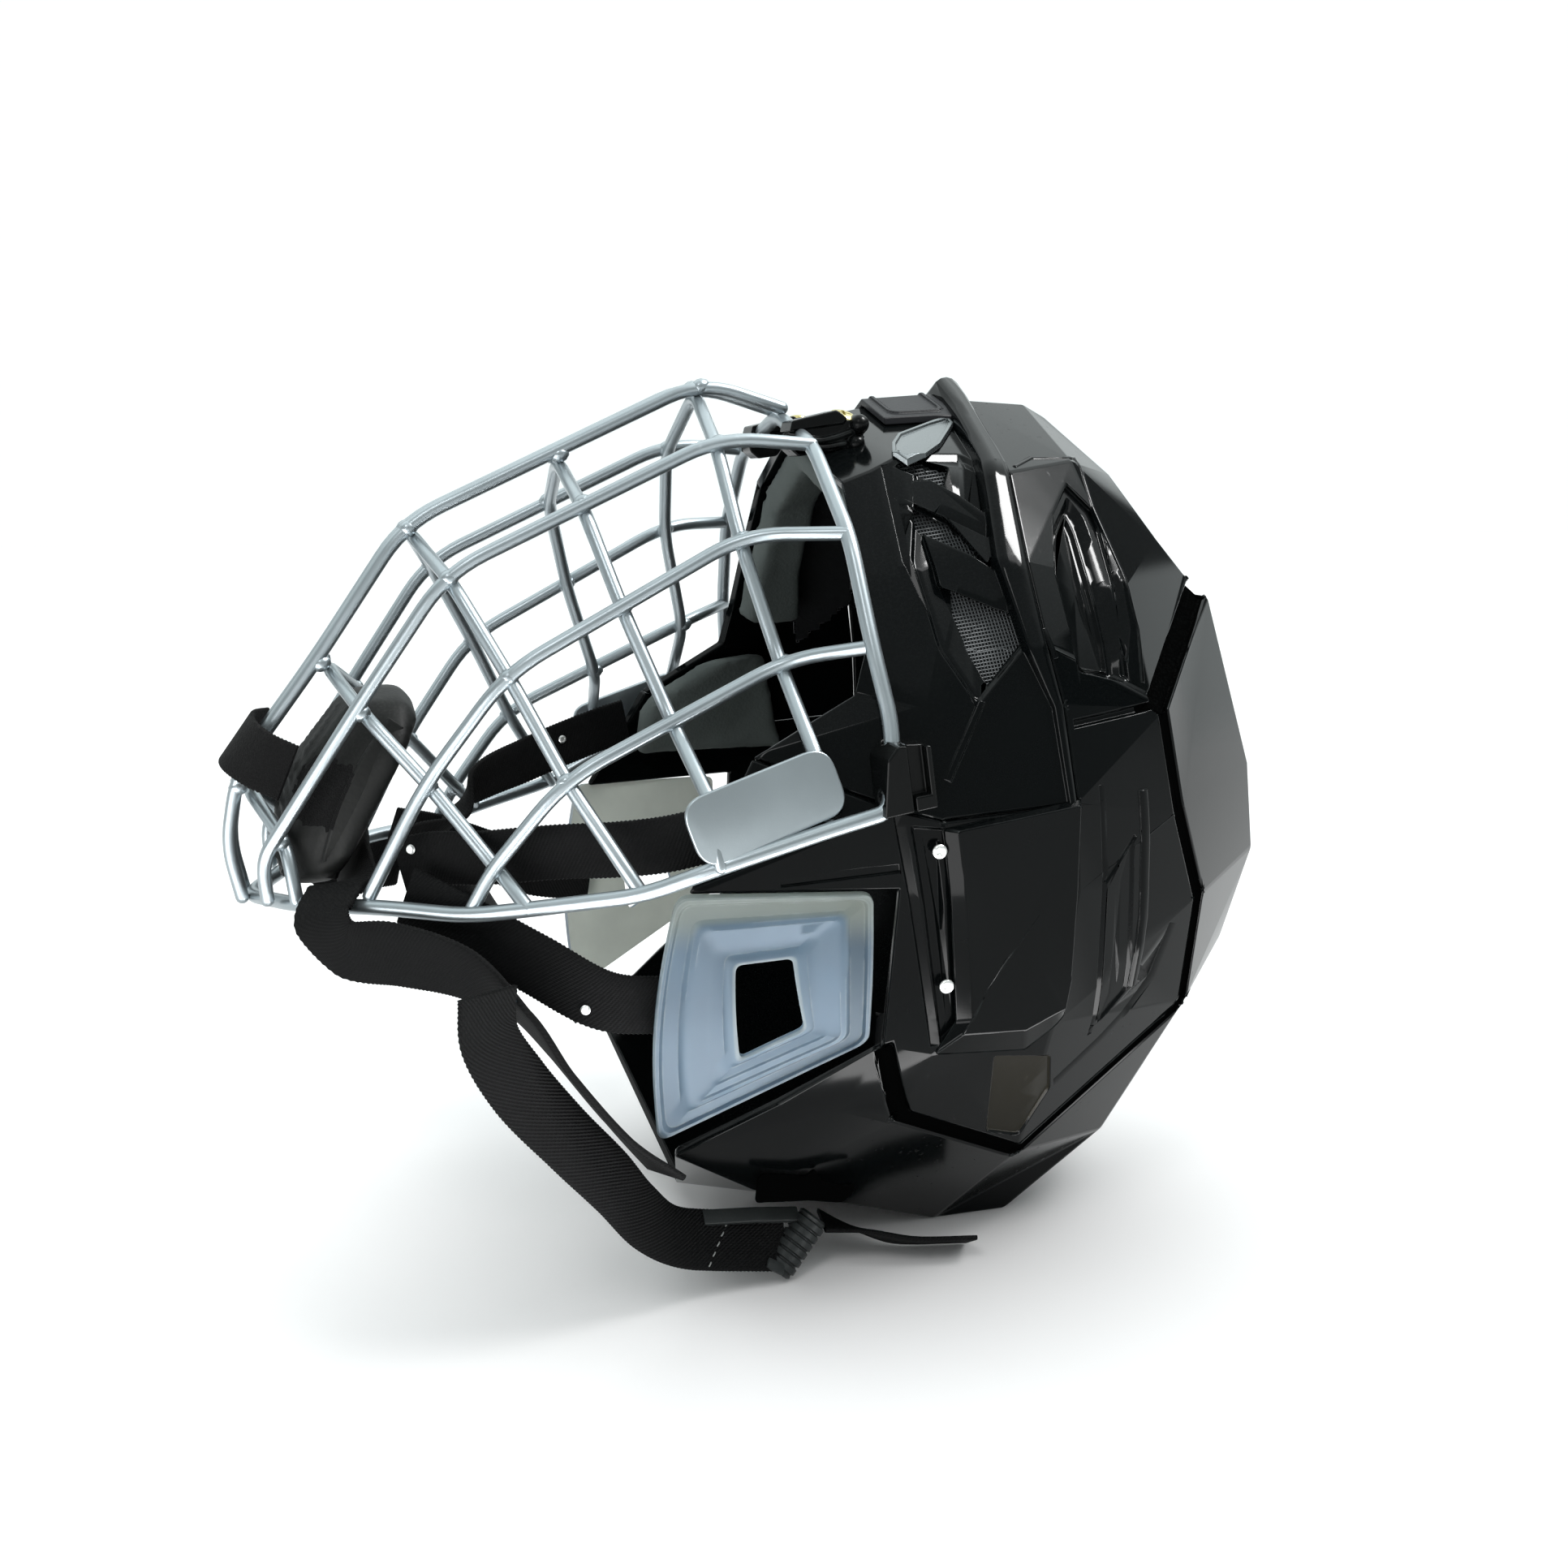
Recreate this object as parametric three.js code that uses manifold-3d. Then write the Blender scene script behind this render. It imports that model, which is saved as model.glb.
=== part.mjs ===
// Ice hockey helmet with a wire face cage, lying on the back of its shell with the face up.
// Millimetres. Helmet pieces are laid out in the helmet's own upright frame, where a point is
// [forward, left, up], and one group then turns the helmet onto its back.
// The straps that hang loose are laid out in the lying frame: +X to the crown, +Z up, Z = 0 the floor.
import * as THREE from 'three';
import { mergeVertices } from 'three/addons/utils/BufferGeometryUtils.js';
import { ConvexGeometry } from 'three/addons/geometries/ConvexGeometry.js';
import Module from 'manifold-3d';

const wasm = await Module();
wasm.setup();
const { Manifold, Mesh: SolidMesh } = wasm;

// ---------------------------------------------------------------- driving dimensions
const GAP = 0.3; // clearance between neighbouring pieces
const WALL = 3.2; // moulded shell wall
const PANEL_RISE = 3.0; // how far the side panel stands off the shell
const FOAM = 11; // liner foam thickness
const GROOVE = { width: 4.6, depth: 1.7 }; // dark channel round the side field
const WIRE = { radius: 2.0, sides: 6, weld: 3.3, bend: 7 }; // cage wire
const RIM_WIRE = { radius: 2.2, sides: 6 }; // wire round the edge of the cage
const PLATE = { length: 43, width: 19, thickness: 2.0, corner: 7 }; // flat welded side plate
const SCREW = { head: 4.2, height: 1.6, sides: 16 };
const WEBBING = { thickness: 1.8, width: 19 };
const LYING_TURN = THREE.MathUtils.degToRad(82); // turn that lays the helmet on its back
const SEAT = { x: 6.921, y: 0, z: 141.504 }; // from the helmet's reference point to the footprint's middle

// The shell as sections from the brow over to the nape. A section runs from its rim, up the
// side and over to the centre line; the first and last lie in the centre plane.
const COLUMNS = ['rim', 'cheek', 'belt', 'seam', 'ridge', 'crown', 'top'];
const SECTIONS = [
  { at: 'brow', rim: [112, 0, 16], cheek: [114, 0, 28], belt: [115, 0, 42], seam: [113, 0, 76],
    ridge: [109, 0, 97], crown: [104, 0, 104], top: [98, 0, 110] },
  { at: 'fore', rim: [95, 46, 17], cheek: [97, 46, 26], belt: [100, 44, 36], seam: [91, 52, 66],
    ridge: [91, 43, 91], crown: [84, 24, 113], top: [82, 0, 118] },
  { at: 'vent', rim: [72, 65, 13], cheek: [71, 69, 22], belt: [69, 71, 32], seam: [67, 74, 59],
    ridge: [55, 69, 92], crown: [63, 38, 120], top: [64, 0, 130] },
  { at: 'gapFront', rim: [51, 76, 8], cheek: [49, 80, 19], belt: [48, 83, 32], seam: [45, 86, 57],
    ridge: [24, 82, 90], crown: [50, 36, 130], top: [49, 0, 139] },
  { at: 'gapBack', rim: [39.4, 77, 3], cheek: [34, 86, 17], belt: [32, 89, 34], seam: [28, 91, 58],
    ridge: [20, 84, 93], crown: [41, 36, 138], top: [38, 0, 147] },
  { at: 'side', rim: [27, 76, -28], cheek: [9, 93, 6], belt: [4, 95, 18], seam: [1, 96, 57],
    ridge: [-11, 85, 95], crown: [-15, 36, 148], top: [-14, 0, 156] },
  { at: 'ear', rim: [-5, 83, -52.5], cheek: [-13, 94, 3], belt: [-18, 96, 16], seam: [-24, 96, 55],
    ridge: [-40, 78, 103], crown: [-43, 38, 146], top: [-45, 0, 154] },
  { at: 'heel', rim: [-58, 90, -6], cheek: [-58, 90, -6], belt: [-63, 92, 8], seam: [-63, 92, 45],
    ridge: [-78, 66, 101], crown: [-70, 41, 130], top: [-76, 0, 142] },
  { at: 'nape', rim: [-72, 80, -36], cheek: [-77, 82, -20], belt: [-84, 82, -1], seam: [-113, 66, 40],
    ridge: [-126, 42, 80], crown: [-114, 30, 103], top: [-118, 0, 110] },
  { at: 'occiput', rim: [-86, 66, -65], cheek: [-106, 60, -42], belt: [-121, 50, -18],
    seam: [-145.84, 34, 21], ridge: [-149.36, 34, 46], crown: [-138, 22, 78], top: [-138, 0, 82] },
  { at: 'floor', rim: [-127, 0, -56], cheek: [-137.8, 0, -30], belt: [-143.45, 0, 4], seam: [-147.11, 0, 30],
    ridge: [-150.06, 0, 51], crown: [-146, 0, 68], top: [-146, 0, 68] },
];
const SEAM_SECTION = 'side'; // the front shell ends at this section and at the seam column

// Cage: each upright passes the cross wires in turn. Points are [forward, out, up].
const UPRIGHTS = [
  { name: 'centre', points: [[118, 6, 14], [129, 6, -10], [100, 6, -104], [65, 6, -136], [37, 6, -164],
    [16, 6, -171], [0, 6, -170]] },
  { name: 'inner', points: [[106.5, 38, 12], [112, 35, -14], [86, 36, -97], [52, 31, -128], [14, 25, -161],
    [2, 24, -162]] },
  { name: 'middle', points: [[82, 66.5, 10], [85, 52, -15], [58, 53, -87], [30, 45, -114], [2, 43, -134]] },
  { name: 'outer', points: [[52, 81, 8], [50, 64, -11], [29, 68, -78], [7, 62, -101], [-4, 61, -109]] },
];
const CROSS_WIRES = [
  { name: 'brow', centre: [129, 0, -10], at: [[112, 35, -14], [85, 52, -15], [50, 64, -11]], end: [27.5, 88.7, -14] },
  { name: 'eye', centre: [115, 0, -56], at: [[101, 35, -56], [72, 52, -52], [39, 66, -45]], end: [21.5, 89.4, -44.5] },
  { name: 'mouth', centre: [100, 0, -104], at: [[86, 36, -97], [58, 53, -87], [29, 68, -78]], end: [-2, 84, -65] },
  { name: 'jaw', centre: [65, 0, -136], at: [[52, 31, -128], [30, 45, -114], [7, 62, -101]], end: [-3, 72, -94] },
  { name: 'chin', centre: [33, 0, -166], at: [[18, 24, -157]], end: [1, 28, -154] },
];
const RIM_ROUTE = [[116, 0, 14], [106, 39, 12], [81, 68, 10], [52, 82, 8], [30, 90.5, 8], [10, 97, 2],
  [8, 95.5, -14], [3, 92.5, -47], [-2, 85, -65], [-3, 72, -94], [-4, 62, -110], [-1, 48, -130],
  [0, 27, -155], [-1, 0, -169]];
const RIM_TAB_OUT = 93.5; // where the plate's two tabs meet the rim wire
const PLATE_CENTRE = [16.7, 92, -30.3];
const CAGE_MIDDLE = new THREE.Vector3(-10, 0, -60); // the cage bulges away from here

// ---------------------------------------------------------------- finishes
const finish = (color, roughness, metalness = 0) =>
  new THREE.MeshStandardMaterial({ color, roughness, metalness });
const GLOSS_BLACK = finish(0x07090a, 0.12);
const SATIN_BLACK = finish(0x101314, 0.38);
const STEEL = finish(0x98a3a6, 0.34, 0.9);
const BRASS = finish(0xa99a55, 0.35, 0.9);
const GREY_FOAM = finish(0x4c5556, 0.9);
const CUP_FOAM = finish(0x3a3b3a, 0.85);
const CLEAR_BLUE = finish(0xa7b8d0, 0.35);
const BLACK_WEB = finish(0x0b0c0d, 0.85);
const MESH_GREY = finish(0x6b7478, 0.6, 0.3);
const BRIGHT = finish(0xd5d8d6, 0.3, 0.8);

// ---------------------------------------------------------------- solids
const vec = ([x, y, z]) => new THREE.Vector3(x, y, z);

function solidOf(geometry) {
  const bare = geometry.index ? geometry.toNonIndexed() : geometry.clone();
  for (const name of Object.keys(bare.attributes)) {
    if (name !== 'position') bare.deleteAttribute(name);
  }
  const merged = mergeVertices(bare, 1e-4);
  return new Manifold(new SolidMesh({
    numProp: 3,
    vertProperties: new Float32Array(merged.attributes.position.array),
    triVerts: new Uint32Array(merged.index.array),
  }));
}

function solidFrom(vertices, triangles) {
  const geometry = new THREE.BufferGeometry();
  geometry.setAttribute('position', new THREE.Float32BufferAttribute(vertices.flatMap((v) => v.toArray()), 3));
  geometry.setIndex(triangles.flat());
  return solidOf(geometry);
}

function geometryOf(solid) {
  const { vertProperties, triVerts, numProp } = solid.getMesh();
  const geometry = new THREE.BufferGeometry();
  const count = vertProperties.length / numProp;
  const positions = new Float32Array(count * 3);
  for (let i = 0; i < count; i += 1) {
    positions.set(vertProperties.subarray(i * numProp, i * numProp + 3), i * 3);
  }
  geometry.setAttribute('position', new THREE.BufferAttribute(positions, 3));
  geometry.setIndex(new THREE.BufferAttribute(new Uint32Array(triVerts), 1));
  geometry.computeVertexNormals();
  return geometry;
}

const largest = (solid) => solid.decompose().reduce((a, b) => (a.volume() > b.volume() ? a : b));

// The same solid on the other side of the helmet's middle plane.
function mirrored(solid) {
  const geometry = geometryOf(solid).scale(1, -1, 1);
  const index = geometry.index.array;
  for (let i = 0; i < index.length; i += 3) [index[i], index[i + 1]] = [index[i + 1], index[i]];
  return solidOf(geometry);
}

const union = (solids) => solids.reduce((a, b) => a.add(b));

// ---------------------------------------------------------------- the shell surface
const pointOf = (section, column, side) => {
  const [forward, out, up] = section[column];
  return new THREE.Vector3(forward, out * side, up);
};
const keyOf = (p) => p.toArray().map((v) => v.toFixed(2)).join();

// Triangles of one cell between two sections and two columns, split along its outer diagonal.
function cellTriangles(rowA, rowB, colA, colB, side) {
  const corners = [pointOf(rowA, colA, side), pointOf(rowA, colB, side),
    pointOf(rowB, colB, side), pointOf(rowB, colA, side)];
  const middle = new THREE.Vector3(-20, 0, 40);
  const reach = (a, b) => a.clone().add(b).multiplyScalar(0.5).distanceTo(middle);
  const split = reach(corners[0], corners[2]) > reach(corners[1], corners[3])
    ? [[0, 1, 2], [0, 2, 3]] : [[1, 2, 3], [1, 3, 0]];
  return split
    .map((t) => t.map((i) => corners[i]))
    .filter((t) => new Set(t.map(keyOf)).size === 3)
    .map((t) => (side > 0 ? [t[0], t[2], t[1]] : t));
}

function surface(wanted) {
  const triangles = [];
  for (let r = 0; r + 1 < SECTIONS.length; r += 1) {
    for (let c = 0; c + 1 < COLUMNS.length; c += 1) {
      if (!wanted(r, c)) continue;
      for (const side of [1, -1]) {
        triangles.push(...cellTriangles(SECTIONS[r], SECTIONS[r + 1], COLUMNS[c], COLUMNS[c + 1], side));
      }
    }
  }
  return triangles;
}

const sectionIndex = (name) => SECTIONS.findIndex((s) => s.at === name);
const columnIndex = (name) => COLUMNS.indexOf(name);
const isEarOpening = (r, c) => c === 0 && r === sectionIndex('ear');
const isShell = (r, c) => !isEarOpening(r, c);
const isFront = (r, c) => isShell(r, c) && r < sectionIndex(SEAM_SECTION) && c < columnIndex('seam');

// Outward normal at every corner of the whole shell, so that neighbouring pieces share them.
const cornerNormals = new Map();
for (const [a, b, c] of surface(() => true)) {
  const face = b.clone().sub(a).cross(c.clone().sub(a)).normalize();
  for (const p of [a, b, c]) {
    const key = keyOf(p);
    if (!cornerNormals.has(key)) cornerNormals.set(key, new THREE.Vector3());
    cornerNormals.get(key).add(face);
  }
}
for (const normal of cornerNormals.values()) normal.normalize();

// A wall over the wanted cells, from `outer` to `inner` millimetres outside the shell surface.
function layer(wanted, outer, inner) {
  const triangles = surface(wanted);
  const vertices = [];
  const index = new Map();
  const vertex = (p, offset) => {
    const key = `${keyOf(p)}|${offset}`;
    if (!index.has(key)) {
      index.set(key, vertices.length);
      vertices.push(p.clone().addScaledVector(cornerNormals.get(keyOf(p)), offset));
    }
    return index.get(key);
  };
  const faces = [];
  const edges = new Map();
  for (const triangle of triangles) {
    const top = triangle.map((p) => vertex(p, outer));
    const bottom = triangle.map((p) => vertex(p, inner));
    faces.push(top, [bottom[0], bottom[2], bottom[1]]);
    for (let i = 0; i < 3; i += 1) {
      const j = (i + 1) % 3;
      const key = `${top[i]}_${top[j]}`;
      const back = `${top[j]}_${top[i]}`;
      if (edges.has(back)) edges.delete(back);
      else edges.set(key, [top[i], top[j], bottom[i], bottom[j]]);
    }
  }
  for (const [a, b, c, d] of edges.values()) faces.push([b, a, c], [b, c, d]);
  return solidFrom(vertices, faces);
}

// ---------------------------------------------------------------- cutters and bars
// A prism across the helmet: an outline of [forward, up] points between two distances from the middle.
function sidePrism(outline, from, to) {
  const shape = new THREE.Shape(outline.map(([forward, up]) => new THREE.Vector2(forward, up)));
  const geometry = new THREE.ExtrudeGeometry(shape, { depth: to - from, bevelEnabled: false });
  geometry.rotateX(Math.PI / 2);
  geometry.translate(0, to, 0);
  return solidOf(geometry);
}

class RoundedPath extends THREE.Curve {
  constructor(points, bend, steps) {
    super();
    this.stops = [points[0]];
    for (let i = 1; i + 1 < points.length; i += 1) {
      const [a, b, c] = [points[i - 1], points[i], points[i + 1]];
      const reach = Math.min(bend, a.distanceTo(b) * 0.45, b.distanceTo(c) * 0.45);
      const start = b.clone().add(a.clone().sub(b).setLength(reach));
      const end = b.clone().add(c.clone().sub(b).setLength(reach));
      const curve = new THREE.QuadraticBezierCurve3(start, b, end);
      for (let k = 0; k <= steps; k += 1) this.stops.push(curve.getPoint(k / steps));
    }
    this.stops.push(points[points.length - 1]);
  }

  getPoint(t, target = new THREE.Vector3()) {
    const place = Math.min(t, 1) * (this.stops.length - 1);
    const i = Math.min(Math.floor(place), this.stops.length - 2);
    return target.lerpVectors(this.stops[i], this.stops[i + 1], place - i);
  }

  getTangent(t, target = new THREE.Vector3()) {
    const last = this.stops.length - 1;
    const i = Math.round(t * last);
    return target.subVectors(this.stops[Math.min(i + 1, last)], this.stops[Math.max(i - 1, 0)]).normalize();
  }

  getUtoTmapping(u) {
    return u;
  }
}

function rod(points, radius, sides, bend = WIRE.bend, steps = 2) {
  const path = new RoundedPath(points, bend, steps);
  const section = new THREE.Shape();
  for (let i = 0; i < sides; i += 1) {
    const angle = (i * 2 * Math.PI) / sides;
    const [x, y] = [radius * Math.cos(angle), radius * Math.sin(angle)];
    if (i) section.lineTo(x, y);
    else section.moveTo(x, y);
  }
  return solidOf(new THREE.ExtrudeGeometry(section, {
    steps: path.stops.length - 1, extrudePath: path, bevelEnabled: false,
  }));
}

// A disc or stud whose axis runs across the helmet.
function disc(centre, radius, thickness, sides) {
  const geometry = new THREE.CylinderGeometry(radius, radius, thickness, sides);
  geometry.translate(...centre);
  return solidOf(geometry);
}

// ---------------------------------------------------------------- the lying group
const helmet = new THREE.Group();
helmet.rotation.set(0, LYING_TURN, Math.PI);
helmet.position.set(SEAT.x, SEAT.y, SEAT.z);
const loose = new THREE.Group();
loose.position.set(SEAT.x, SEAT.y, 0);
const model = new THREE.Group();
model.add(helmet, loose);

function place(name, solid, material, group = helmet) {
  const mesh = new THREE.Mesh(geometryOf(solid), material);
  mesh.name = name;
  group.add(mesh);
  return mesh;
}

function placePair(name, solid, material) {
  place(`${name}_left`, solid, material);
  place(`${name}_right`, mirrored(solid), material);
}

// ---------------------------------------------------------------- shells
const wholeShell = layer(isShell, 0, -WALL);
const grownShell = layer(isShell, GAP, -WALL - GAP);
const shifted = (solid, by) => solidOf(geometryOf(solid).translate(...by));
// What is left of a piece beside the shell, with room all round the shell's edges.
const shellRoom = [[0, 0, -GAP], [GAP, 0, 0], [-GAP, 0, 0], [0, 0, GAP]].map((by) => shifted(grownShell, by));
const clearOfShell = (solid) => largest(shellRoom.reduce((left, room) => left.subtract(room), solid));

// Windows of the front vent, each between two slanted ribs: [forward, up] corners.
const VENT_WINDOWS = [
  [[99.6, 38.7], [97, 34], [89.5, 46], [94.7, 50]],
  [[86.8, 31], [78, 33], [69.5, 44.5], [79, 42.5]],
  [[64, 33], [36, 38], [48.7, 54.5], [57, 47]],
];
const SLOT_OUTLINE = [[84.5, 85.5], [77.5, 76], [64, 69.5], [36, 68], [30, 83], [75, 92]];
const GROOVE_ROUTE = [
  ['gapBack', 'ridge'], ['side', 'ridge'], ['ear', 'ridge'], ['heel', 'ridge'],
  ['nape', 'seam'], ['nape', 'belt'], ['heel', 'cheek'],
];
const grooveCorner = ([at, column], side) => pointOf(SECTIONS[sectionIndex(at)], column, side);

// A channel cut along the surface: a bar swept through the corners, kept to the skin of the wall.
function channel(route, width) {
  const bars = [];
  for (let i = 0; i + 1 < route.length; i += 1) {
    bars.push(rod([route[i], route[i + 1]], width / 2, 6));
    bars.push(solidOf(new THREE.IcosahedronGeometry(width / 2, 0).translate(...route[i].toArray())));
  }
  return union(bars);
}

function buildShells() {
  const skin = layer(isShell, 1, -GROOVE.depth);
  const deepSkin = layer(isShell, 2, -GROOVE.depth * 1.3);
  let grooves = channel(GROOVE_ROUTE.map((c) => grooveCorner(c, 1)), GROOVE.width * 1.3);
  grooves = grooves.add(mirrored(grooves)).intersect(skin);
  const gapMiddle = (column, side) => pointOf(SECTIONS[3], column, side)
    .add(pointOf(SECTIONS[4], column, side)).multiplyScalar(0.5);
  const crownGap = channel([gapMiddle('ridge', 1), gapMiddle('crown', 1), gapMiddle('top', 1),
    gapMiddle('crown', -1), gapMiddle('ridge', -1)], 9).intersect(deepSkin);
  const slot = sidePrism(SLOT_OUTLINE, 30, 110).intersect(skin);
  const windows = union(VENT_WINDOWS.map((w) => sidePrism(w, 20, 110)));
  const front = layer(isFront, 0, -WALL).subtract(windows).subtract(mirrored(windows));
  // The rear shell stops a hair short of the front shell's edge.
  const rear = wholeShell.subtract(layer(isFront, GAP * 4, -WALL - GAP * 4).add(seamTrim()))
    .subtract(grooves).subtract(crownGap).subtract(slot).subtract(mirrored(slot));
  return { front: largest(front), rear: largest(rear) };
}

// A thin wall standing on the seam line, which opens the gap between the two shells.
function seamTrim() {
  const seam = [];
  for (let r = 0; r <= sectionIndex(SEAM_SECTION); r += 1) seam.push([r, 'seam']);
  const across = ['belt', 'cheek', 'rim'].map((c) => [sectionIndex(SEAM_SECTION), c]);
  const trims = [];
  for (const side of [1, -1]) {
    const route = [...seam, ...across].map(([r, c]) => pointOf(SECTIONS[r], c, side));
    for (let i = 0; i + 1 < route.length; i += 1) {
      const [a, b] = [route[i], route[i + 1]];
      const along = b.clone().sub(a).normalize();
      const out = cornerNormals.get(keyOf(a)).clone().add(cornerNormals.get(keyOf(b))).normalize();
      const aside = along.clone().cross(out).normalize().multiplyScalar(GAP);
      const tall = out.clone().multiplyScalar(WALL * 2);
      const [start, end] = [a.clone().addScaledVector(along, -GAP), b.clone().addScaledVector(along, GAP)];
      const corners = [];
      for (const p of [start, end]) {
        for (const [s, t] of [[-1, -1], [1, -1], [1, 1], [-1, 1]]) {
          corners.push(p.clone().addScaledVector(aside, s).addScaledVector(tall, t));
        }
      }
      trims.push(solidOf(new ConvexGeometry(corners)));
    }
  }
  return union(trims);
}

const shells = buildShells();
place('front_shell', shells.front, GLOSS_BLACK);
place('rear_shell', shells.rear, SATIN_BLACK);

// ---------------------------------------------------------------- vents and badge
const VENT_FIELD = [[104, 42], [99, 31], [88, 28], [66, 29], [32, 35], [47, 58], [66, 55], [92, 54]];
placePair('vent_mesh', largest(layer(isFront, -WALL - GAP, -WALL - GAP - 1.2)
  .intersect(sidePrism(VENT_FIELD, 20, 110))), MESH_GREY);

// A prism through the forehead: an outline of [left, up] points between two distances forward.
function frontPrism(outline, from, to) {
  const shape = new THREE.Shape(outline.map(([left, up]) => new THREE.Vector2(left, up)));
  const geometry = new THREE.ExtrudeGeometry(shape, { depth: to - from, bevelEnabled: false });
  geometry.rotateX(Math.PI / 2);
  geometry.rotateZ(Math.PI / 2);
  geometry.translate(from, 0, 0);
  return solidOf(geometry);
}

const BADGE = [[-19, 42], [19, 42], [20, 66], [-20, 66]];
place('brow_badge', largest(layer(isFront, 2.6, GAP).intersect(frontPrism(BADGE, 60, 140))), SATIN_BLACK);
const TRIM = [[20.6, 43], [34, 42], [27, 64], [21.4, 65]];
placePair('brow_trim', largest(layer(isFront, 2.2, GAP).intersect(frontPrism(TRIM, 60, 140))), BRIGHT);

// ---------------------------------------------------------------- side field
const SIDE_PANEL = [[3, 21], [1, 57], [-50, 54], [-60, 50], [-66, 36], [-64, 9], [-60, 9], [-57, 20]];
placePair('side_panel', largest(layer(isShell, PANEL_RISE, GAP).intersect(sidePrism(SIDE_PANEL, 40, 120))),
  GLOSS_BLACK);
const SLOT_SCREWS = [{ name: 'upper', at: [-4, 97.4, 15] }, { name: 'lower', at: [-43, 95.6, 13] }];
for (const { name, at } of SLOT_SCREWS) {
  placePair(`slot_screw_${name}`, clearOfShell(disc(at, 3.2, 2.4, 12)), BRIGHT);
}

// ---------------------------------------------------------------- ear guards
const EAR_CORNERS = { frontLow: [-3, 84.5, -52], frontHigh: [-13, 92.5, 1.5], backHigh: [-56, 88.8, -7],
  backLow: [-77, 73, -68] };
const EAR_WINDOW = [[-26, -41], [-27, -25], [-49, -25], [-55, -44]];
const EAR_THICK = 2.4;
const EAR_BOW = 6; // how far the guard's lower edge bows out between its corners

function earGuard() {
  const { frontLow, frontHigh, backHigh, backLow } = EAR_CORNERS;
  const steps = 3;
  const vertices = [];
  const quads = [];
  const at = (i, j, layerIndex) => (i * (steps + 1) + j) * 2 + layerIndex;
  for (let i = 0; i <= steps; i += 1) {
    for (let j = 0; j <= steps; j += 1) {
      const low = vec(frontLow).lerp(vec(backLow), i / steps);
      const high = vec(frontHigh).lerp(vec(backHigh), i / steps);
      const p = low.lerp(high, j / steps);
      const bulge = Math.sin((Math.PI * i) / steps) * 1.5;
      p.z -= Math.sin((Math.PI * (i + 0.4)) / (steps + 0.8)) * EAR_BOW * (1 - j / steps);
      vertices.push(new THREE.Vector3(p.x, p.y + bulge, p.z));
      vertices.push(new THREE.Vector3(p.x, p.y + bulge - EAR_THICK, p.z));
    }
  }
  const quad = (a, b, c, d) => quads.push([a, b, c], [a, c, d]);
  for (let i = 0; i < steps; i += 1) {
    for (let j = 0; j < steps; j += 1) {
      quad(at(i, j, 0), at(i + 1, j, 0), at(i + 1, j + 1, 0), at(i, j + 1, 0));
      quad(at(i, j, 1), at(i, j + 1, 1), at(i + 1, j + 1, 1), at(i + 1, j, 1));
    }
    quad(at(i, 0, 0), at(i, 0, 1), at(i + 1, 0, 1), at(i + 1, 0, 0));
    quad(at(i, steps, 0), at(i + 1, steps, 0), at(i + 1, steps, 1), at(i, steps, 1));
    quad(at(0, i, 0), at(0, i + 1, 0), at(0, i + 1, 1), at(0, i, 1));
    quad(at(steps, i, 0), at(steps, i, 1), at(steps, i + 1, 1), at(steps, i + 1, 0));
  }
  let solid = solidFrom(vertices, quads);
  if (solid.volume() < 0) solid = solidFrom(vertices, quads.map(([a, b, c]) => [a, c, b]));
  return solid;
}

placePair('ear_guard', clearOfShell(earGuard().subtract(sidePrism(EAR_WINDOW, 40, 120))), CLEAR_BLUE);

// ---------------------------------------------------------------- liner
const within = (from, to, colFrom, colTo) => (r, c) => isShell(r, c)
  && r >= sectionIndex(from) && r < sectionIndex(to) && c >= columnIndex(colFrom) && c < columnIndex(colTo);
const pad = (cells, thickness) => layer(cells, -WALL - GAP * 2, -WALL - GAP * 2 - thickness);
const browFoam = pad(within('brow', 'gapFront', 'rim', 'belt'), FOAM)
  .subtract(layer(isFront, -WALL, -WALL - GAP * 2 - 1.2));
place('brow_foam', largest(browFoam), GREY_FOAM);
placePair('temple_pad', largest(pad(within('gapBack', 'ear', 'rim', 'seam'), FOAM * 0.7)
  .intersect(sidePrism([[36, -28], [32, 20], [-6, 24], [4, -34]], 30, 120))), GREY_FOAM);
place('crown_pad', largest(pad(within('vent', 'heel', 'crown', 'top'), FOAM)), GREY_FOAM);
place('nape_pad', largest(pad(within('nape', 'floor', 'seam', 'top'), FOAM * 0.8)), GREY_FOAM);

// ---------------------------------------------------------------- cage
const inward = (p, distance) => p.clone().add(CAGE_MIDDLE.clone().sub(p).setLength(distance));

function buildCage() {
  const parts = [];
  for (const { points } of UPRIGHTS) {
    const upright = rod(points.map(vec), WIRE.radius, WIRE.sides, 12);
    parts.push(upright, mirrored(upright));
  }
  for (const { centre, at, end } of CROSS_WIRES) {
    const half = [...at.map((p) => inward(vec(p), WIRE.weld)), vec(end)];
    const otherHalf = half.map((p) => new THREE.Vector3(p.x, -p.y, p.z)).reverse();
    parts.push(rod([...otherHalf, inward(vec(centre), WIRE.weld), ...half], WIRE.radius, WIRE.sides, 8));
  }
  const route = RIM_ROUTE.map(vec);
  const otherRoute = route.slice(1, -1).map((p) => new THREE.Vector3(p.x, -p.y, p.z)).reverse();
  // The rim wire is one closed ring: two halves that run past each other at the two centre points.
  parts.push(rod(route, RIM_WIRE.radius, RIM_WIRE.sides, 8));
  parts.push(rod([route[route.length - 1], ...otherRoute, route[0]], RIM_WIRE.radius, RIM_WIRE.sides, 8));
  for (const p of [route[0], route[route.length - 1]]) {
    parts.push(solidOf(new THREE.IcosahedronGeometry(RIM_WIRE.radius * 1.05, 1).translate(...p.toArray())));
  }
  const plate = sidePlate();
  parts.push(plate, mirrored(plate));
  return union(parts);
}

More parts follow.
